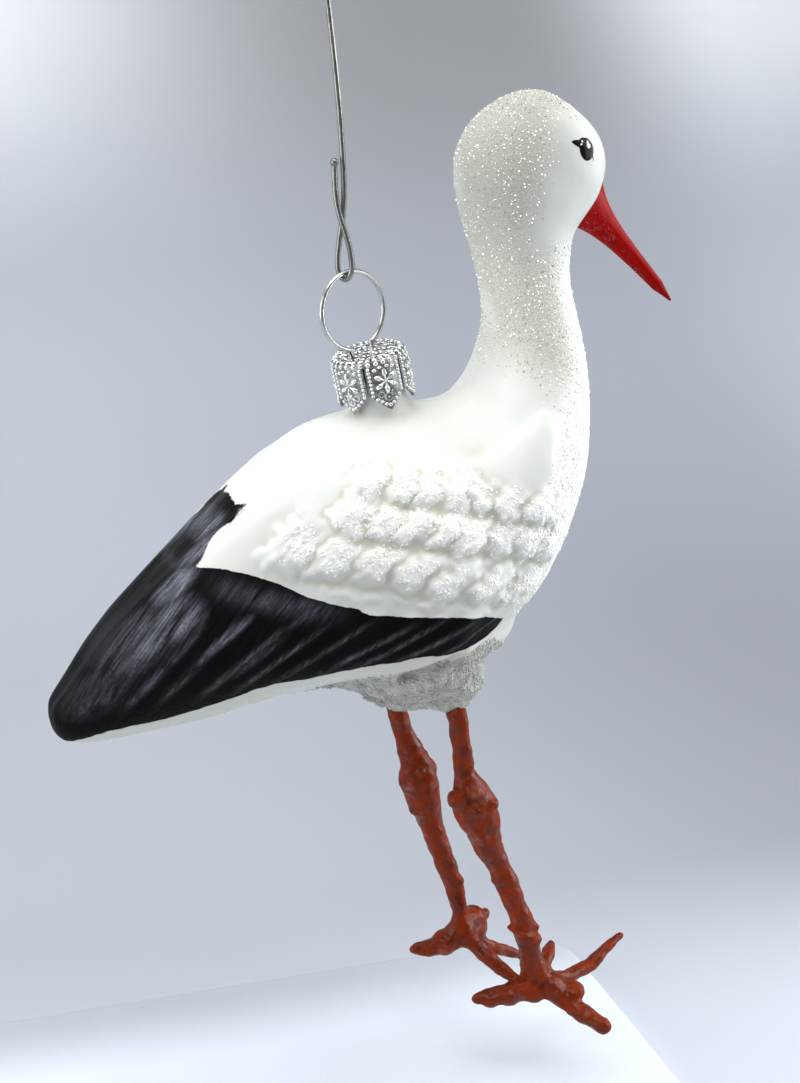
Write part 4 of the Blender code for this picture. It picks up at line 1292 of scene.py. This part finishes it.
class STORK_OT_glitter(bpy.types.Operator):
    """Sows glitter on the head, neck and feathers, and frost on the breast and belly"""
    bl_idname = "stork.glitter"
    bl_label = "Glitter and frost"

    def execute(self, context):
        settings = context.scene.stork.glitter
        skin = bpy.data.objects["glass_skin"]
        unwrap = make_unwrap(skin)
        flake, crumb = make_flake(settings.flake), make_crumb(settings.crumb)
        silver, pearl = flake_material("silver_glitter", 0.75), flake_material("pearl_glitter", 0.15)
        white = crumb_material("sugar_frost", (1.0, 0.995, 0.95), (0.93, 0.925, 0.86), 0.7)
        # Painted shade: the belly's grains take the frost's darkened grey.
        belly_frost_shade_tone = tuple(context.scene.stork.glass.frost)
        grey = crumb_material("belly_frost", toned(belly_frost_shade_tone, 1.45), toned(belly_frost_shade_tone, 0.7), 2.8)
        per_square_mm = MM**-2
        # Name, grain, mask, spacing and density in millimetres, sizes, tilt, lift and material.
        sown = [
            ("glitter_head", flake, "head", 0.3, 5.0, (0.4, 1.45), 0.9, 0.02, silver),
            ("glitter_feathers", flake, "bumps", 0.6, 2.0, (0.5, 1.0), 0.9, 0.03, pearl),
            ("frost_feathers", crumb, "bumps", 0.15, 13.0, (0.4, 1.4), 1.2, -0.11, white),
            ("frost_breast", crumb, "chest", 0.14, 9.6, (0.35, 1.35), 1.2, -0.08, white),
            ("frost_belly", crumb, "frost", 0.16, 9.0, (0.35, 1.3), 1.2, -0.05, grey),
        ]
        for index, (name, grain, mask, spacing, density, sizes, tilt, lift, material) in enumerate(sown):
            piece = scatter(name, skin, unwrap, grain, mask, spacing * MM, density * per_square_mm, sizes,
                            tilt, lift * MM, settings.seed + index)
            finish_piece(piece, material, "white_glass")
        remove(unwrap, flake, crumb)
        return {"FINISHED"}


# ---------------------------------------------------------------------------------------------------------
# Bill and eyes


class STORK_OT_bill(bpy.types.Operator):
    """Builds the red bill as one bent, tapering cone set into the face"""
    bl_idname = "stork.bill"
    bl_label = "Bill"

    def execute(self, context):
        root, bend, tip = mm(42.7, 0, 148.2), mm(49.0, 0, 142.1), mm(59.2, 0, 131.2)
        steps = 60
        points = []
        for k in range(steps + 1):
            t = k / steps
            centre = root * (1 - t) ** 2 + bend * 2 * t * (1 - t) + tip * t**2
            # Thick at its root, then an even taper that rounds off just before the tip.
            radius = 0.75 + 1.7 * (1 - t) + 3.9 * (1 - t) ** 4.7
            radius *= min(1.0, 0.3 + 7.0 * (1 - t))
            points.append((*centre, radius * MM))
        points += [(*(tip + mm(0.12, 0, -0.17)), 0.16 * MM), (*(tip + mm(0.17, 0, -0.24)), 0.06 * MM)]
        bill = wire_piece("red_bill", points, 1.0, sides=14)
        narrower = 0.8
        resize_where(bill, lambda co: True, (1, narrower, 1))
        smooth_faces(bill)
        finish_piece(bill, bill_material(context.scene.stork.paint), "red_painted_glass", "bill")
        return {"FINISHED"}


def drape(obj, tree, centre, ahead, up, side):
    """Lays a flat shape, drawn in millimetres with Z as its thickness, onto the curved face."""
    for vert in obj.data.vertices:
        across, along, lift = vert.co / MM
        wanted = centre + (ahead * across + up * along) * MM
        place, normal, _, _ = tree.find_nearest(wanted)
        vert.co = place + normal * lift * MM
    if side > 0:
        obj.data.flip_normals()


def dab(kind, places, height):
    """A flat dab of paint: an ellipse or a wedge at (across, along, half-length, half-width, turn)."""
    across, along, length, width, turn = places
    if kind == "oval":
        bpy.ops.mesh.primitive_uv_sphere_add(segments=32, ring_count=14, radius=MM)
    else:
        bpy.ops.mesh.primitive_cone_add(vertices=24, radius1=MM, radius2=0.18 * MM, depth=2 * MM,
                                        rotation=(0, math.radians(90), 0))
        bake_place(bpy.context.object)
        apply_modifier(bpy.context.object, "SUBSURF", levels=2, render_levels=2)
    shape = bpy.context.object
    turned = Matrix.Rotation(math.radians(turn), 4, "Z") @ Matrix.Diagonal((length, width, height, 1))
    shape.data.transform(Matrix.Translation(mm(across, along, 0)) @ turned)
    return shape


def raise_by(shape, lift):
    shape.data.transform(Matrix.Translation(mm(0, 0, lift)))
    return shape


class STORK_OT_eyes(bpy.types.Operator):
    """Paints each eye: a black oval with a rear and a front lash, a drop-shaped glint and two dots"""
    bl_idname = "stork.eyes"
    bl_label = "Eyes"

    def execute(self, context):
        colours = context.scene.stork.paint
        black = enamel_material("black_enamel", tuple(colours.eye), 0.12)
        white = enamel_material("white_glint", tuple(colours.glint), 0.3)
        tree = surface_tree(bpy.data.objects["glass_skin"])
        for name, side in SIDES.items():
            centre, normal = flank_point(tree, 41.9, 155.3, side)
            forward = Vector((1, 0, 0))
            ahead = (forward - normal * forward.dot(normal)).normalized()
            up = ahead.cross(normal) * (1 if side > 0 else -1)
            strokes = [
                dab("oval", (0.1, -0.05, 1.42, 1.66, 8), 0.26),
                dab("oval", (-0.6, 0.75, 1.05, 0.82, 20), 0.2),
                dab("wedge", (-1.85, 0.85, -0.95, 0.8, -12), 0.16),
                dab("wedge", (1.25, -0.85, 1.1, 0.2, -75), 0.12),
                dab("oval", (0.95, 0.35, 0.34, 1.0, 10), 0.14),
            ]
            glints = [
                raise_by(dab("oval", (0.2, 0.38, 0.38, 0.36, 8), 0.1), 0.25),
                raise_by(dab("oval", (0.12, 0.72, 0.24, 0.38, 8), 0.1), 0.22),
                raise_by(dab("oval", (-0.9, 1.0, 0.17, 0.17, 0), 0.1), 0.15),
                raise_by(dab("oval", (-1.1, 0.6, 0.22, 0.12, 15), 0.1), 0.14),
            ]
            for group, piece_name, material in ((strokes, f"eye_paint_{name}", black),
                                                (glints, f"eye_glint_{name}", white)):
                piece = join_pieces(group, piece_name)
                drape(piece, tree, centre, ahead, up, side)
                merge_doubles(piece, 0.0005 * MM)
                smooth_faces(piece)
                nodes = [f"eye_{name}"] if group is strokes else []
                finish_piece(piece, material, "eye_enamel", *nodes)
        return {"FINISHED"}


# ---------------------------------------------------------------------------------------------------------
# Cap, ring and hanger


def cap_frame():
    return Matrix.Translation(mm(*CAP_TOP)) @ Matrix.Rotation(CAP_LEAN, 4, "Y")


def ring_frame():
    return cap_frame() @ Matrix.Translation(mm(RING_SHIFT, 0, 0)) @ Matrix.Rotation(RING_TURN, 4, "Z")


def cap_cup(radius, height):
    """The drawn cup with its rolled rim, its skirt cut into six pointed leaves."""
    bpy.ops.mesh.primitive_cylinder_add(vertices=96, radius=radius, depth=height,
                                        location=(0, 0, -height / 2))
    cup = bpy.context.object
    bake_place(cup)
    near = 0.01 * MM
    select_where(cup, "FACE", lambda co: co.z < near - height)
    bpy.ops.mesh.delete(type="FACE")
    select_where(cup, "EDGE", lambda co: co.z > -near)
    bpy.ops.mesh.bevel(offset=0.55 * MM, segments=4, affect="EDGES")
    bpy.ops.object.mode_set(mode="OBJECT")
    merge_doubles(cup)
    apply_modifier(cup, "SOLIDIFY", thickness=0.4 * MM, offset=-1.0)
    # Between two leaves the skirt has a slit, and a square notch on its corner shapes their points.
    cutters = []
    pitch = 2 * math.pi / CAP_LEAVES
    for leaf in range(CAP_LEAVES):
        turn = Matrix.Rotation(CAP_LEAF_TURN + pitch * (leaf + 0.5), 4, "Z")
        bpy.ops.mesh.primitive_cube_add(size=1.0)
        slit = bpy.context.object
        slit.data.transform(turn @ Matrix.Translation((radius, 0, -0.9 * MM - height / 2))
                            @ Matrix.Diagonal((3 * MM, 0.3 * MM, height, 1)))
        bpy.ops.mesh.primitive_cube_add(size=1.0)
        notch = bpy.context.object
        half = radius * math.tan(pitch / 2) - 0.3 * MM
        square = Matrix.Rotation(math.radians(45), 4, "X")
        notch.data.transform(turn @ Matrix.Translation((radius, 0, -height))
                             @ Matrix.Diagonal((1, half * math.sqrt(2), 2.9 * MM * math.sqrt(2), 1))
                             @ square @ Matrix.Diagonal((3 * MM, 1, 1, 1)))
        cutters += [slit, notch]
    for cutter in cutters:
        modifier = cup.modifiers.new("leaf", "BOOLEAN")
        modifier.operation = "DIFFERENCE"
        modifier.object = cutter
        select_only(cup)
        bpy.ops.object.modifier_apply(modifier=modifier.name)
    remove(*cutters)
    return cup


def small_shapes():
    """The stamped motifs, each modelled once: a bead, a petal and an eyelet."""
    bpy.ops.mesh.primitive_uv_sphere_add(segments=10, ring_count=6, radius=MM)
    bead = bpy.context.object
    bpy.ops.mesh.primitive_uv_sphere_add(segments=12, ring_count=8, radius=MM)
    petal = bpy.context.object
    resize_where(petal, lambda co: co.x < -0.1 * MM, (1.0, 0.55, 0.7))
    bpy.ops.mesh.primitive_torus_add(major_segments=14, minor_segments=6, major_radius=MM,
                                     minor_radius=0.22 * MM)
    eyelet = bpy.context.object
    return {"bead": bead, "petal": petal, "eyelet": eyelet}


def leaf_relief(radius, height):
    """The relief of one leaf as (kind, across, down, turn, length, width, lift) in millimetres."""
    relief = []
    half = radius / MM * math.pi / CAP_LEAVES - 0.62
    for k in range(8):
        down = 1.15 + 0.58 * k
        relief += [("bead", side * half, down, 0, 0.31, 0.29, 0.3) for side in (-1, 1)]
    for k in range(1, 4):
        share = k / 4
        down = 5.35 + share * (height / MM - 6.1)
        for side in (-1, 1):
            relief.append(("bead", side * half * (1 - share), down, 0, 0.32, 0.29, 0.3))
    relief.append(("bead", 0, height / MM - 0.95, 0, 0.34, 0.34, 0.3))
    for k in range(6):
        turn = math.radians(30 + 60 * k)
        relief.append(("petal", 1.02 * math.cos(turn), 3.3 - 1.02 * math.sin(turn), turn, 0.92, 0.4, 0.45))
    relief.append(("bead", 0, 3.3, 0, 0.2, 0.2, 0.24))
    relief.append(("eyelet", 0, 5.75, 0, 0.56, 0.56, 0.7))
    relief.append(("bead", 0, 5.75, 0, 0.17, 0.17, 0.3))
    for side in (-1, 1):
        relief.append(("eyelet", side * 1.02, 5.2, 0, 0.42, 0.42, 0.6))
        relief.append(("bead", side * 1.4, 1.45, 0, 0.38, 0.3, 0.3))
        relief.append(("bead", side * 0.55, 1.15, 0, 0.36, 0.26, 0.28))
    return relief


def cap_relief(shapes, radius, height):
    """Every stamped motif in its place: on the six leaves, in rings on the top and round the rim."""
    relief = []
    face = Matrix(((0, 0, 1, 0), (1, 0, 0, 0), (0, 1, 0, 0), (0, 0, 0, 1)))
    for leaf in range(CAP_LEAVES):
        middle = CAP_LEAF_TURN + 2 * math.pi * leaf / CAP_LEAVES
        for kind, across, down, turn, length, width, lift in leaf_relief(radius, height):
            angle = middle + across * MM / radius
            out = Matrix.Rotation(angle, 4, "Z") @ Matrix.Translation((radius, 0, -down * MM))
            shape = Matrix.Rotation(turn, 4, "Z") @ Matrix.Diagonal((length, width, lift, 1))
            relief.append(stamp(shapes[kind], out @ face @ shape))
    for ring_radius, count, size in ((0.0, 1, 0.7), (1.5, 5, 0.78), (3.05, 10, 0.82), (4.3, 15, 0.68)):
        for k in range(count):
            turn = 2 * math.pi * (k + 0.3 * ring_radius) / count
            at = Matrix.Translation(mm(ring_radius * math.cos(turn), ring_radius * math.sin(turn), 0.02))
            relief.append(stamp(shapes["eyelet"], at @ Matrix.Diagonal((size, size, 0.75, 1))))
    rim_beads, top_radius, rim_radius = 30, 4.92, 5.36
    for k in range(rim_beads):
        turn = 2 * math.pi * k / rim_beads
        at = Matrix.Translation(mm(top_radius * math.cos(turn), top_radius * math.sin(turn), -0.12))
        relief.append(stamp(shapes["bead"], at @ Matrix.Diagonal((0.42, 0.42, 0.36, 1))))
        rim = Matrix.Rotation(turn, 4, "Z") @ Matrix.Translation(mm(rim_radius, 0, -0.55))
        relief.append(stamp(shapes["bead"], rim @ Matrix.Diagonal((0.3, 0.42, 0.36, 1))))
    return relief


class STORK_OT_cap(bpy.types.Operator):
    """Builds the crown cap: the cup, its beaded leaves with flowers, and its top of eyelets, near-black
    between them as painted shade
    """
    bl_idname = "stork.cap"
    bl_label = "Crown cap"

    def execute(self, context):
        settings = context.scene.stork.metal
        radius, height = settings.cap_radius, settings.cap_height
        cup = cap_cup(radius, height)
        shapes = small_shapes()
        relief = cap_relief(shapes, radius, height)
        set_attribute(cup, "raised", np.zeros(len(cup.data.vertices)))
        # The top of the cup, marked for near-black painted shade between its eyelets.
        set_attribute(cup, "pierced", points_of(cup)[:, 2] > -0.05)
        raised = join_pieces(relief, "cap_relief")
        set_attribute(raised, "raised", np.ones(len(raised.data.vertices)))
        cap = join_pieces([cup, raised], "crown_cap")
        cap.data.transform(cap_frame())
        smooth_faces(cap, 40)
        remove(*shapes.values())
        finish_piece(cap, stamped_material(settings), "stamped_cap", "cap")
        return {"FINISHED"}


class STORK_OT_ring(bpy.types.Operator):
    """Bends the ring: an oval of wire whose two legs go down through the cap"""
    bl_idname = "stork.ring"
    bl_label = "Cap ring"

    def execute(self, context):
        settings = context.scene.stork.metal
        half_width, half_height, centre, spread, depth = 5.5, RING_HALF_HEIGHT, RING_CENTRE, 1.95, 1.6
        gap = math.asin(spread / half_width)
        steps = 96
        points = [(-spread, 0, -depth)]
        for k in range(steps + 1):
            turn = gap + (2 * math.pi - 2 * gap) * k / steps
            points.append((-half_width * math.sin(turn), 0, centre - half_height * math.cos(turn)))
        points.append((spread, 0, -depth))
        placed = [ring_frame() @ mm(*point) for point in points]
        ring = wire_piece("wire_ring", placed, settings.ring_wire, sides=5)
        plated = metal_material("plated_ring", tuple(settings.ring), 0.06)
        finish_piece(ring, plated, "plated_wire", "cap_ring")
        return {"FINISHED"}


def hanger_path(ring_wire, hanger_wire):
    """The hanger's route in millimetres, from its beaded end to the tip of its crook."""
    ring_top = ring_frame() @ mm(0, 0, RING_CENTRE + RING_HALF_HEIGHT) / MM
    hook = ring_top - Vector((0, 0, (ring_wire + hanger_wire) / MM + WIRE_GAP))
    across = Vector((math.cos(HANGER_TURN), math.sin(HANGER_TURN), 0))
    forward = Vector((math.sin(HANGER_TURN), -math.cos(HANGER_TURN), 0))
    # Across, forward and up from the hook.
    bends = [(-1.3, 0.45, 16.6), (-1.1, 0.5, 12.3), (-0.5, 0.5, 9.3), (0.7, 0.25, 5.5),
             (1.15, 0, 2.3), (0.8, 0, 0.6), (0, 0, 0), (-0.8, 0, 0.6), (-1.15, 0, 2.3),
             (-0.95, -0.25, 5.5), (-0.4, -0.45, 9.7), (-0.3, -0.45, 14.1), (-0.7, -0.4, 21.7),
             (-1.6, -0.2, 31.7), (-2.6, 0, 40.7)]
    route = [hook + across * a + forward * f + Vector((0, 0, up)) for a, f, up in bends]
    points = list(smooth_line([tuple(point) for point in route], 8))
    crook = ROD_RADIUS + hanger_wire / MM + WIRE_GAP
    for k in range(25):
        turn = math.pi * k / 24
        points.append((hook.x, crook * math.cos(turn), ROD_TOP + crook * math.sin(turn)))
    points.append((hook.x, -crook - 0.4, ROD_TOP - 4.0))
    return points


class STORK_OT_hanger(bpy.types.Operator):
    """Bends the hanger: a beaded end, a crossing, the hook under the ring, and up to its crook"""
    bl_idname = "stork.hanger"
    bl_label = "Wire hanger"

    def execute(self, context):
        settings = context.scene.stork.metal
        placed = [mm(*point) for point in hanger_path(settings.ring_wire, settings.hanger_wire)]
        wire = wire_piece("wire_hanger", placed, settings.hanger_wire, sides=5)
        bpy.ops.mesh.primitive_uv_sphere_add(segments=20, ring_count=12, radius=0.62 * MM,
                                             location=placed[0])
        bead = bpy.context.object
        bake_place(bead)
        hanger = join_pieces([wire, bead], "wire_hanger")
        smooth_faces(hanger, 50)
        dull = metal_material("dull_wire", tuple(settings.hanger), 0.1)
        finish_piece(hanger, dull, "plated_wire", "hanger")
        return {"FINISHED"}


# ---------------------------------------------------------------------------------------------------------
# Clay legs


class STORK_OT_legs(bpy.types.Operator):
    """Presses the clay of both legs and feet: lumps, folds and wrinkles on the shaped wires"""
    bl_idname = "stork.legs"
    bl_label = "Clay legs"

    def execute(self, context):
        clay = clay_material(context.scene.stork.paint)
        coarse, fine, thickening = 0.35 * MM, 0.26 * MM, 0.07 * MM
        waves = []
        for name, kind, size, depth, middle in (("clay_pinches", "VORONOI", 3.6, -0.5, 0.45),
                                                ("clay_wrinkles", "CLOUDS", 1.7, 0.4, 0.5)):
            texture = bpy.data.textures.new(name, kind)
            texture.noise_scale = size * MM
            waves.append((texture, depth * MM, middle))
        for name in SIDES:
            core = join_pieces([copy_of_node(f"leg_{name}", "leg_copy"),
                                copy_of_node(f"foot_{name}", "foot_copy")], "leg_core")
            apply_modifier(core, "REMESH", mode="VOXEL", voxel_size=coarse)
            core = keep_largest(core)
            apply_modifier(core, "DISPLACE", strength=thickening, mid_level=0.0)
            pieces = [core]
            for x, y, z, radius, flat in LEG_LUMPS[name]:
                bpy.ops.mesh.primitive_ico_sphere_add(subdivisions=3, radius=radius * MM)
                lump = bpy.context.object
                tip = Euler((0.5 * math.sin(7 * x), 0.5 * math.sin(5 * z) + 0.3, 0)).to_matrix().to_4x4()
                lump.data.transform(Matrix.Translation(mm(x, y, z)) @ tip @ Matrix.Diagonal((1, 1, flat, 1)))
                pieces.append(lump)
            leg = join_pieces(pieces, f"clay_leg_{name}")
            apply_modifier(leg, "REMESH", mode="VOXEL", voxel_size=fine)
            leg = keep_largest(leg)
            apply_modifier(leg, "SMOOTH", factor=0.5, iterations=14)
            for texture, depth, middle in waves:
                apply_modifier(leg, "DISPLACE", strength=depth, mid_level=middle, texture=texture,
                               texture_coords="LOCAL")
            apply_modifier(leg, "SMOOTH", factor=0.5, iterations=1)
            # Where the painted shade of the folds goes.
            set_attribute(leg, "fold", fold_depth(leg))
            smooth_faces(leg)
            finish_piece(leg, clay, "red_clay", f"leg_{name}", f"foot_{name}")
        return {"FINISHED"}


# ---------------------------------------------------------------------------------------------------------
# Stand and stage


def rod_path():
    """The swan-neck rod in millimetres, (x, y, z, radius): collar, post, bend, arm and curled tip."""
    rod, top = ROD_RADIUS, ROD_TOP
    post_x, foot, bend, collar, collar_height = -50.0, 6.2, 18.0, 5.5, 3.6
    profile = [(0, collar - 0.3), (0.3, collar), (2.3, collar), (2.8, collar - 0.5), (3.0, collar - 1.2),
               (3.05, rod + 0.3), (collar_height, rod)]
    points = [(post_x, 0, foot + up, radius) for up, radius in profile]
    straight = top - bend - foot - collar_height
    points += [(post_x, 0, foot + collar_height + straight * k / 6, rod) for k in range(1, 7)]
    for k in range(1, 33):
        turn = math.pi / 2 * k / 32
        points.append((post_x + bend - bend * math.cos(turn), 0, top - bend + bend * math.sin(turn), rod))
    # The arm runs level to just past the hanger, then curls up so that the crook can't slip off.
    hook_level, lift, curl = 11.2, 5.0, math.pi / 3
    curl_x = (ring_frame() @ mm(0, 0, hook_level) / MM).x + 2.0
    for k in range(17):
        turn = curl * k / 16
        points.append((curl_x + lift * math.sin(turn), 0, top + lift * (1 - math.cos(turn)), rod))
    last = Vector(points[-1][:3])
    ahead = Vector((math.cos(curl), 0, math.sin(curl)))
    return points + [(*(last + ahead * 0.3), rod * 0.93), (*(last + ahead * 0.5), rod * 0.7)]


class STORK_OT_stand(bpy.types.Operator):
    """Finishes the stand: enamel on its plate and a smooth swan-neck rod"""
    bl_idname = "stork.stand"
    bl_label = "Display stand"

    def execute(self, context):
        settings = context.scene.stork.stage
        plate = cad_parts["stand_base"]
        plate.data.materials.clear()
        plate.data.materials.append(plate_material(settings))
        placed = [[value * MM for value in point] for point in rod_path()]
        bar = wire_piece("stand_rod_bar", placed, 1.0, sides=10)
        steel = metal_material("brushed_rod", tuple(settings.stand_steel), 0.28)
        finish_piece(bar, steel, "stand_steel", "stand_rod")
        return {"FINISHED"}


def add_softbox(name, place, target, size, power, colour):
    bpy.ops.object.light_add(type="AREA", location=place)
    light = bpy.context.object
    light.name = name
    light.data.shape = "RECTANGLE"
    light.data.size, light.data.size_y = size
    light.data.energy = power
    light.data.color = colour
    light.rotation_euler = (Vector(target) - Vector(place)).to_track_quat("-Z", "Y").to_euler()


class STORK_OT_stage(bpy.types.Operator):
    """Sets the floor and its sweep, the softboxes and the camera"""
    bl_idname = "stork.stage"
    bl_label = "Stage"

    def execute(self, context):
        settings = context.scene.stork.stage
        floor_size, wall_height, bend = 2.4, 1.2, 0.45
        bpy.ops.mesh.primitive_plane_add(size=floor_size, location=(0, -0.55, 0))
        sweep = context.object
        sweep.name = "studio_sweep"
        bake_place(sweep)
        select_where(sweep, "EDGE", lambda co: co.y > 0.6)
        bpy.ops.mesh.extrude_region_move(TRANSFORM_OT_translate={"value": (0, 0, wall_height)})
        select_where(sweep, "EDGE", lambda co: co.y > 0.6 and co.z < 0.01)
        bpy.ops.mesh.bevel(offset=bend, segments=24, affect="EDGES")
        bpy.ops.object.mode_set(mode="OBJECT")
        smooth_faces(sweep)
        sweep.data.materials.append(backdrop_material(settings))

        world = bpy.data.worlds.new("studio")
        context.scene.world = world
        world.use_nodes = True
        background = world.node_tree.nodes["Background"]
        background.inputs["Color"].default_value = (0.80, 0.86, 0.95, 1.0)
        background.inputs["Strength"].default_value = 0.10

        middle = (0.016, 0, 0.10)
        white, cool = (1.0, 1.0, 1.0), (0.93, 0.97, 1.0)
        add_softbox("softbox_top", (-0.02, -0.05, 0.60), middle, (0.8, 0.55), 3.9, white)
        add_softbox("softbox_left", (-0.50, -0.05, 0.18), middle, (0.5, 0.5), 2.4, cool)
        add_softbox("softbox_right", (0.50, -0.05, 0.18), middle, (0.5, 0.5), 3.75, cool)
        add_softbox("softbox_front", (-0.25, -0.75, 0.30), middle, (0.8, 0.6), 0.5, white)

        azimuth, elevation = settings.azimuth, settings.elevation
        back = Vector((math.sin(azimuth) * math.cos(elevation), -math.cos(azimuth) * math.cos(elevation),
                       math.sin(elevation)))
        target = mm(16.4, 0, 97)
        bpy.ops.object.camera_add(location=target + back * settings.distance,
                                  rotation=(-back).to_track_quat("-Z", "Y").to_euler())
        camera = context.object
        camera.data.lens = settings.lens
        camera.data.sensor_width = 36
        camera.data.clip_start = 0.01
        camera.data.clip_end = 10
        context.scene.camera = camera
        context.scene.view_settings.view_transform = "Standard"
        return {"FINISHED"}


# ---------------------------------------------------------------------------------------------------------
# Add-on


OPERATORS = (STORK_OT_glass, STORK_OT_glitter, STORK_OT_bill, STORK_OT_eyes, STORK_OT_cap, STORK_OT_ring,
             STORK_OT_hanger, STORK_OT_legs, STORK_OT_stand, STORK_OT_stage)


class STORK_PT_panel(bpy.types.Panel):
    """Lists the pieces of the stork and their settings"""
    bl_idname = "STORK_PT_panel"
    bl_label = "Blown-glass stork"
    bl_space_type = "VIEW_3D"
    bl_region_type = "UI"
    bl_category = "Stork"

    def draw(self, context):
        layout = self.layout
        for operator in OPERATORS:
            layout.operator(operator.bl_idname)
        for name in ("glass", "paint", "metal", "glitter", "stage"):
            group = getattr(context.scene.stork, name)
            box = layout.box()
            box.label(text=name.capitalize())
            for key in group.__annotations__:
                box.prop(group, key)


CLASSES = (GlassSettings, PaintSettings, MetalSettings, GlitterSettings, StageSettings, StorkSettings,
           *OPERATORS, STORK_PT_panel)


def register():
    for cls in CLASSES:
        bpy.utils.register_class(cls)
    bpy.types.Scene.stork = PointerProperty(type=StorkSettings)


def unregister():
    del bpy.types.Scene.stork
    for cls in reversed(CLASSES):
        bpy.utils.unregister_class(cls)


def main():
    register()
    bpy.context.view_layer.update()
    for operator in OPERATORS:
        group, name = operator.bl_idname.split(".")
        getattr(getattr(bpy.ops, group), name)()
    bpy.context.view_layer.update()


if __name__ == "__main__":
    main()
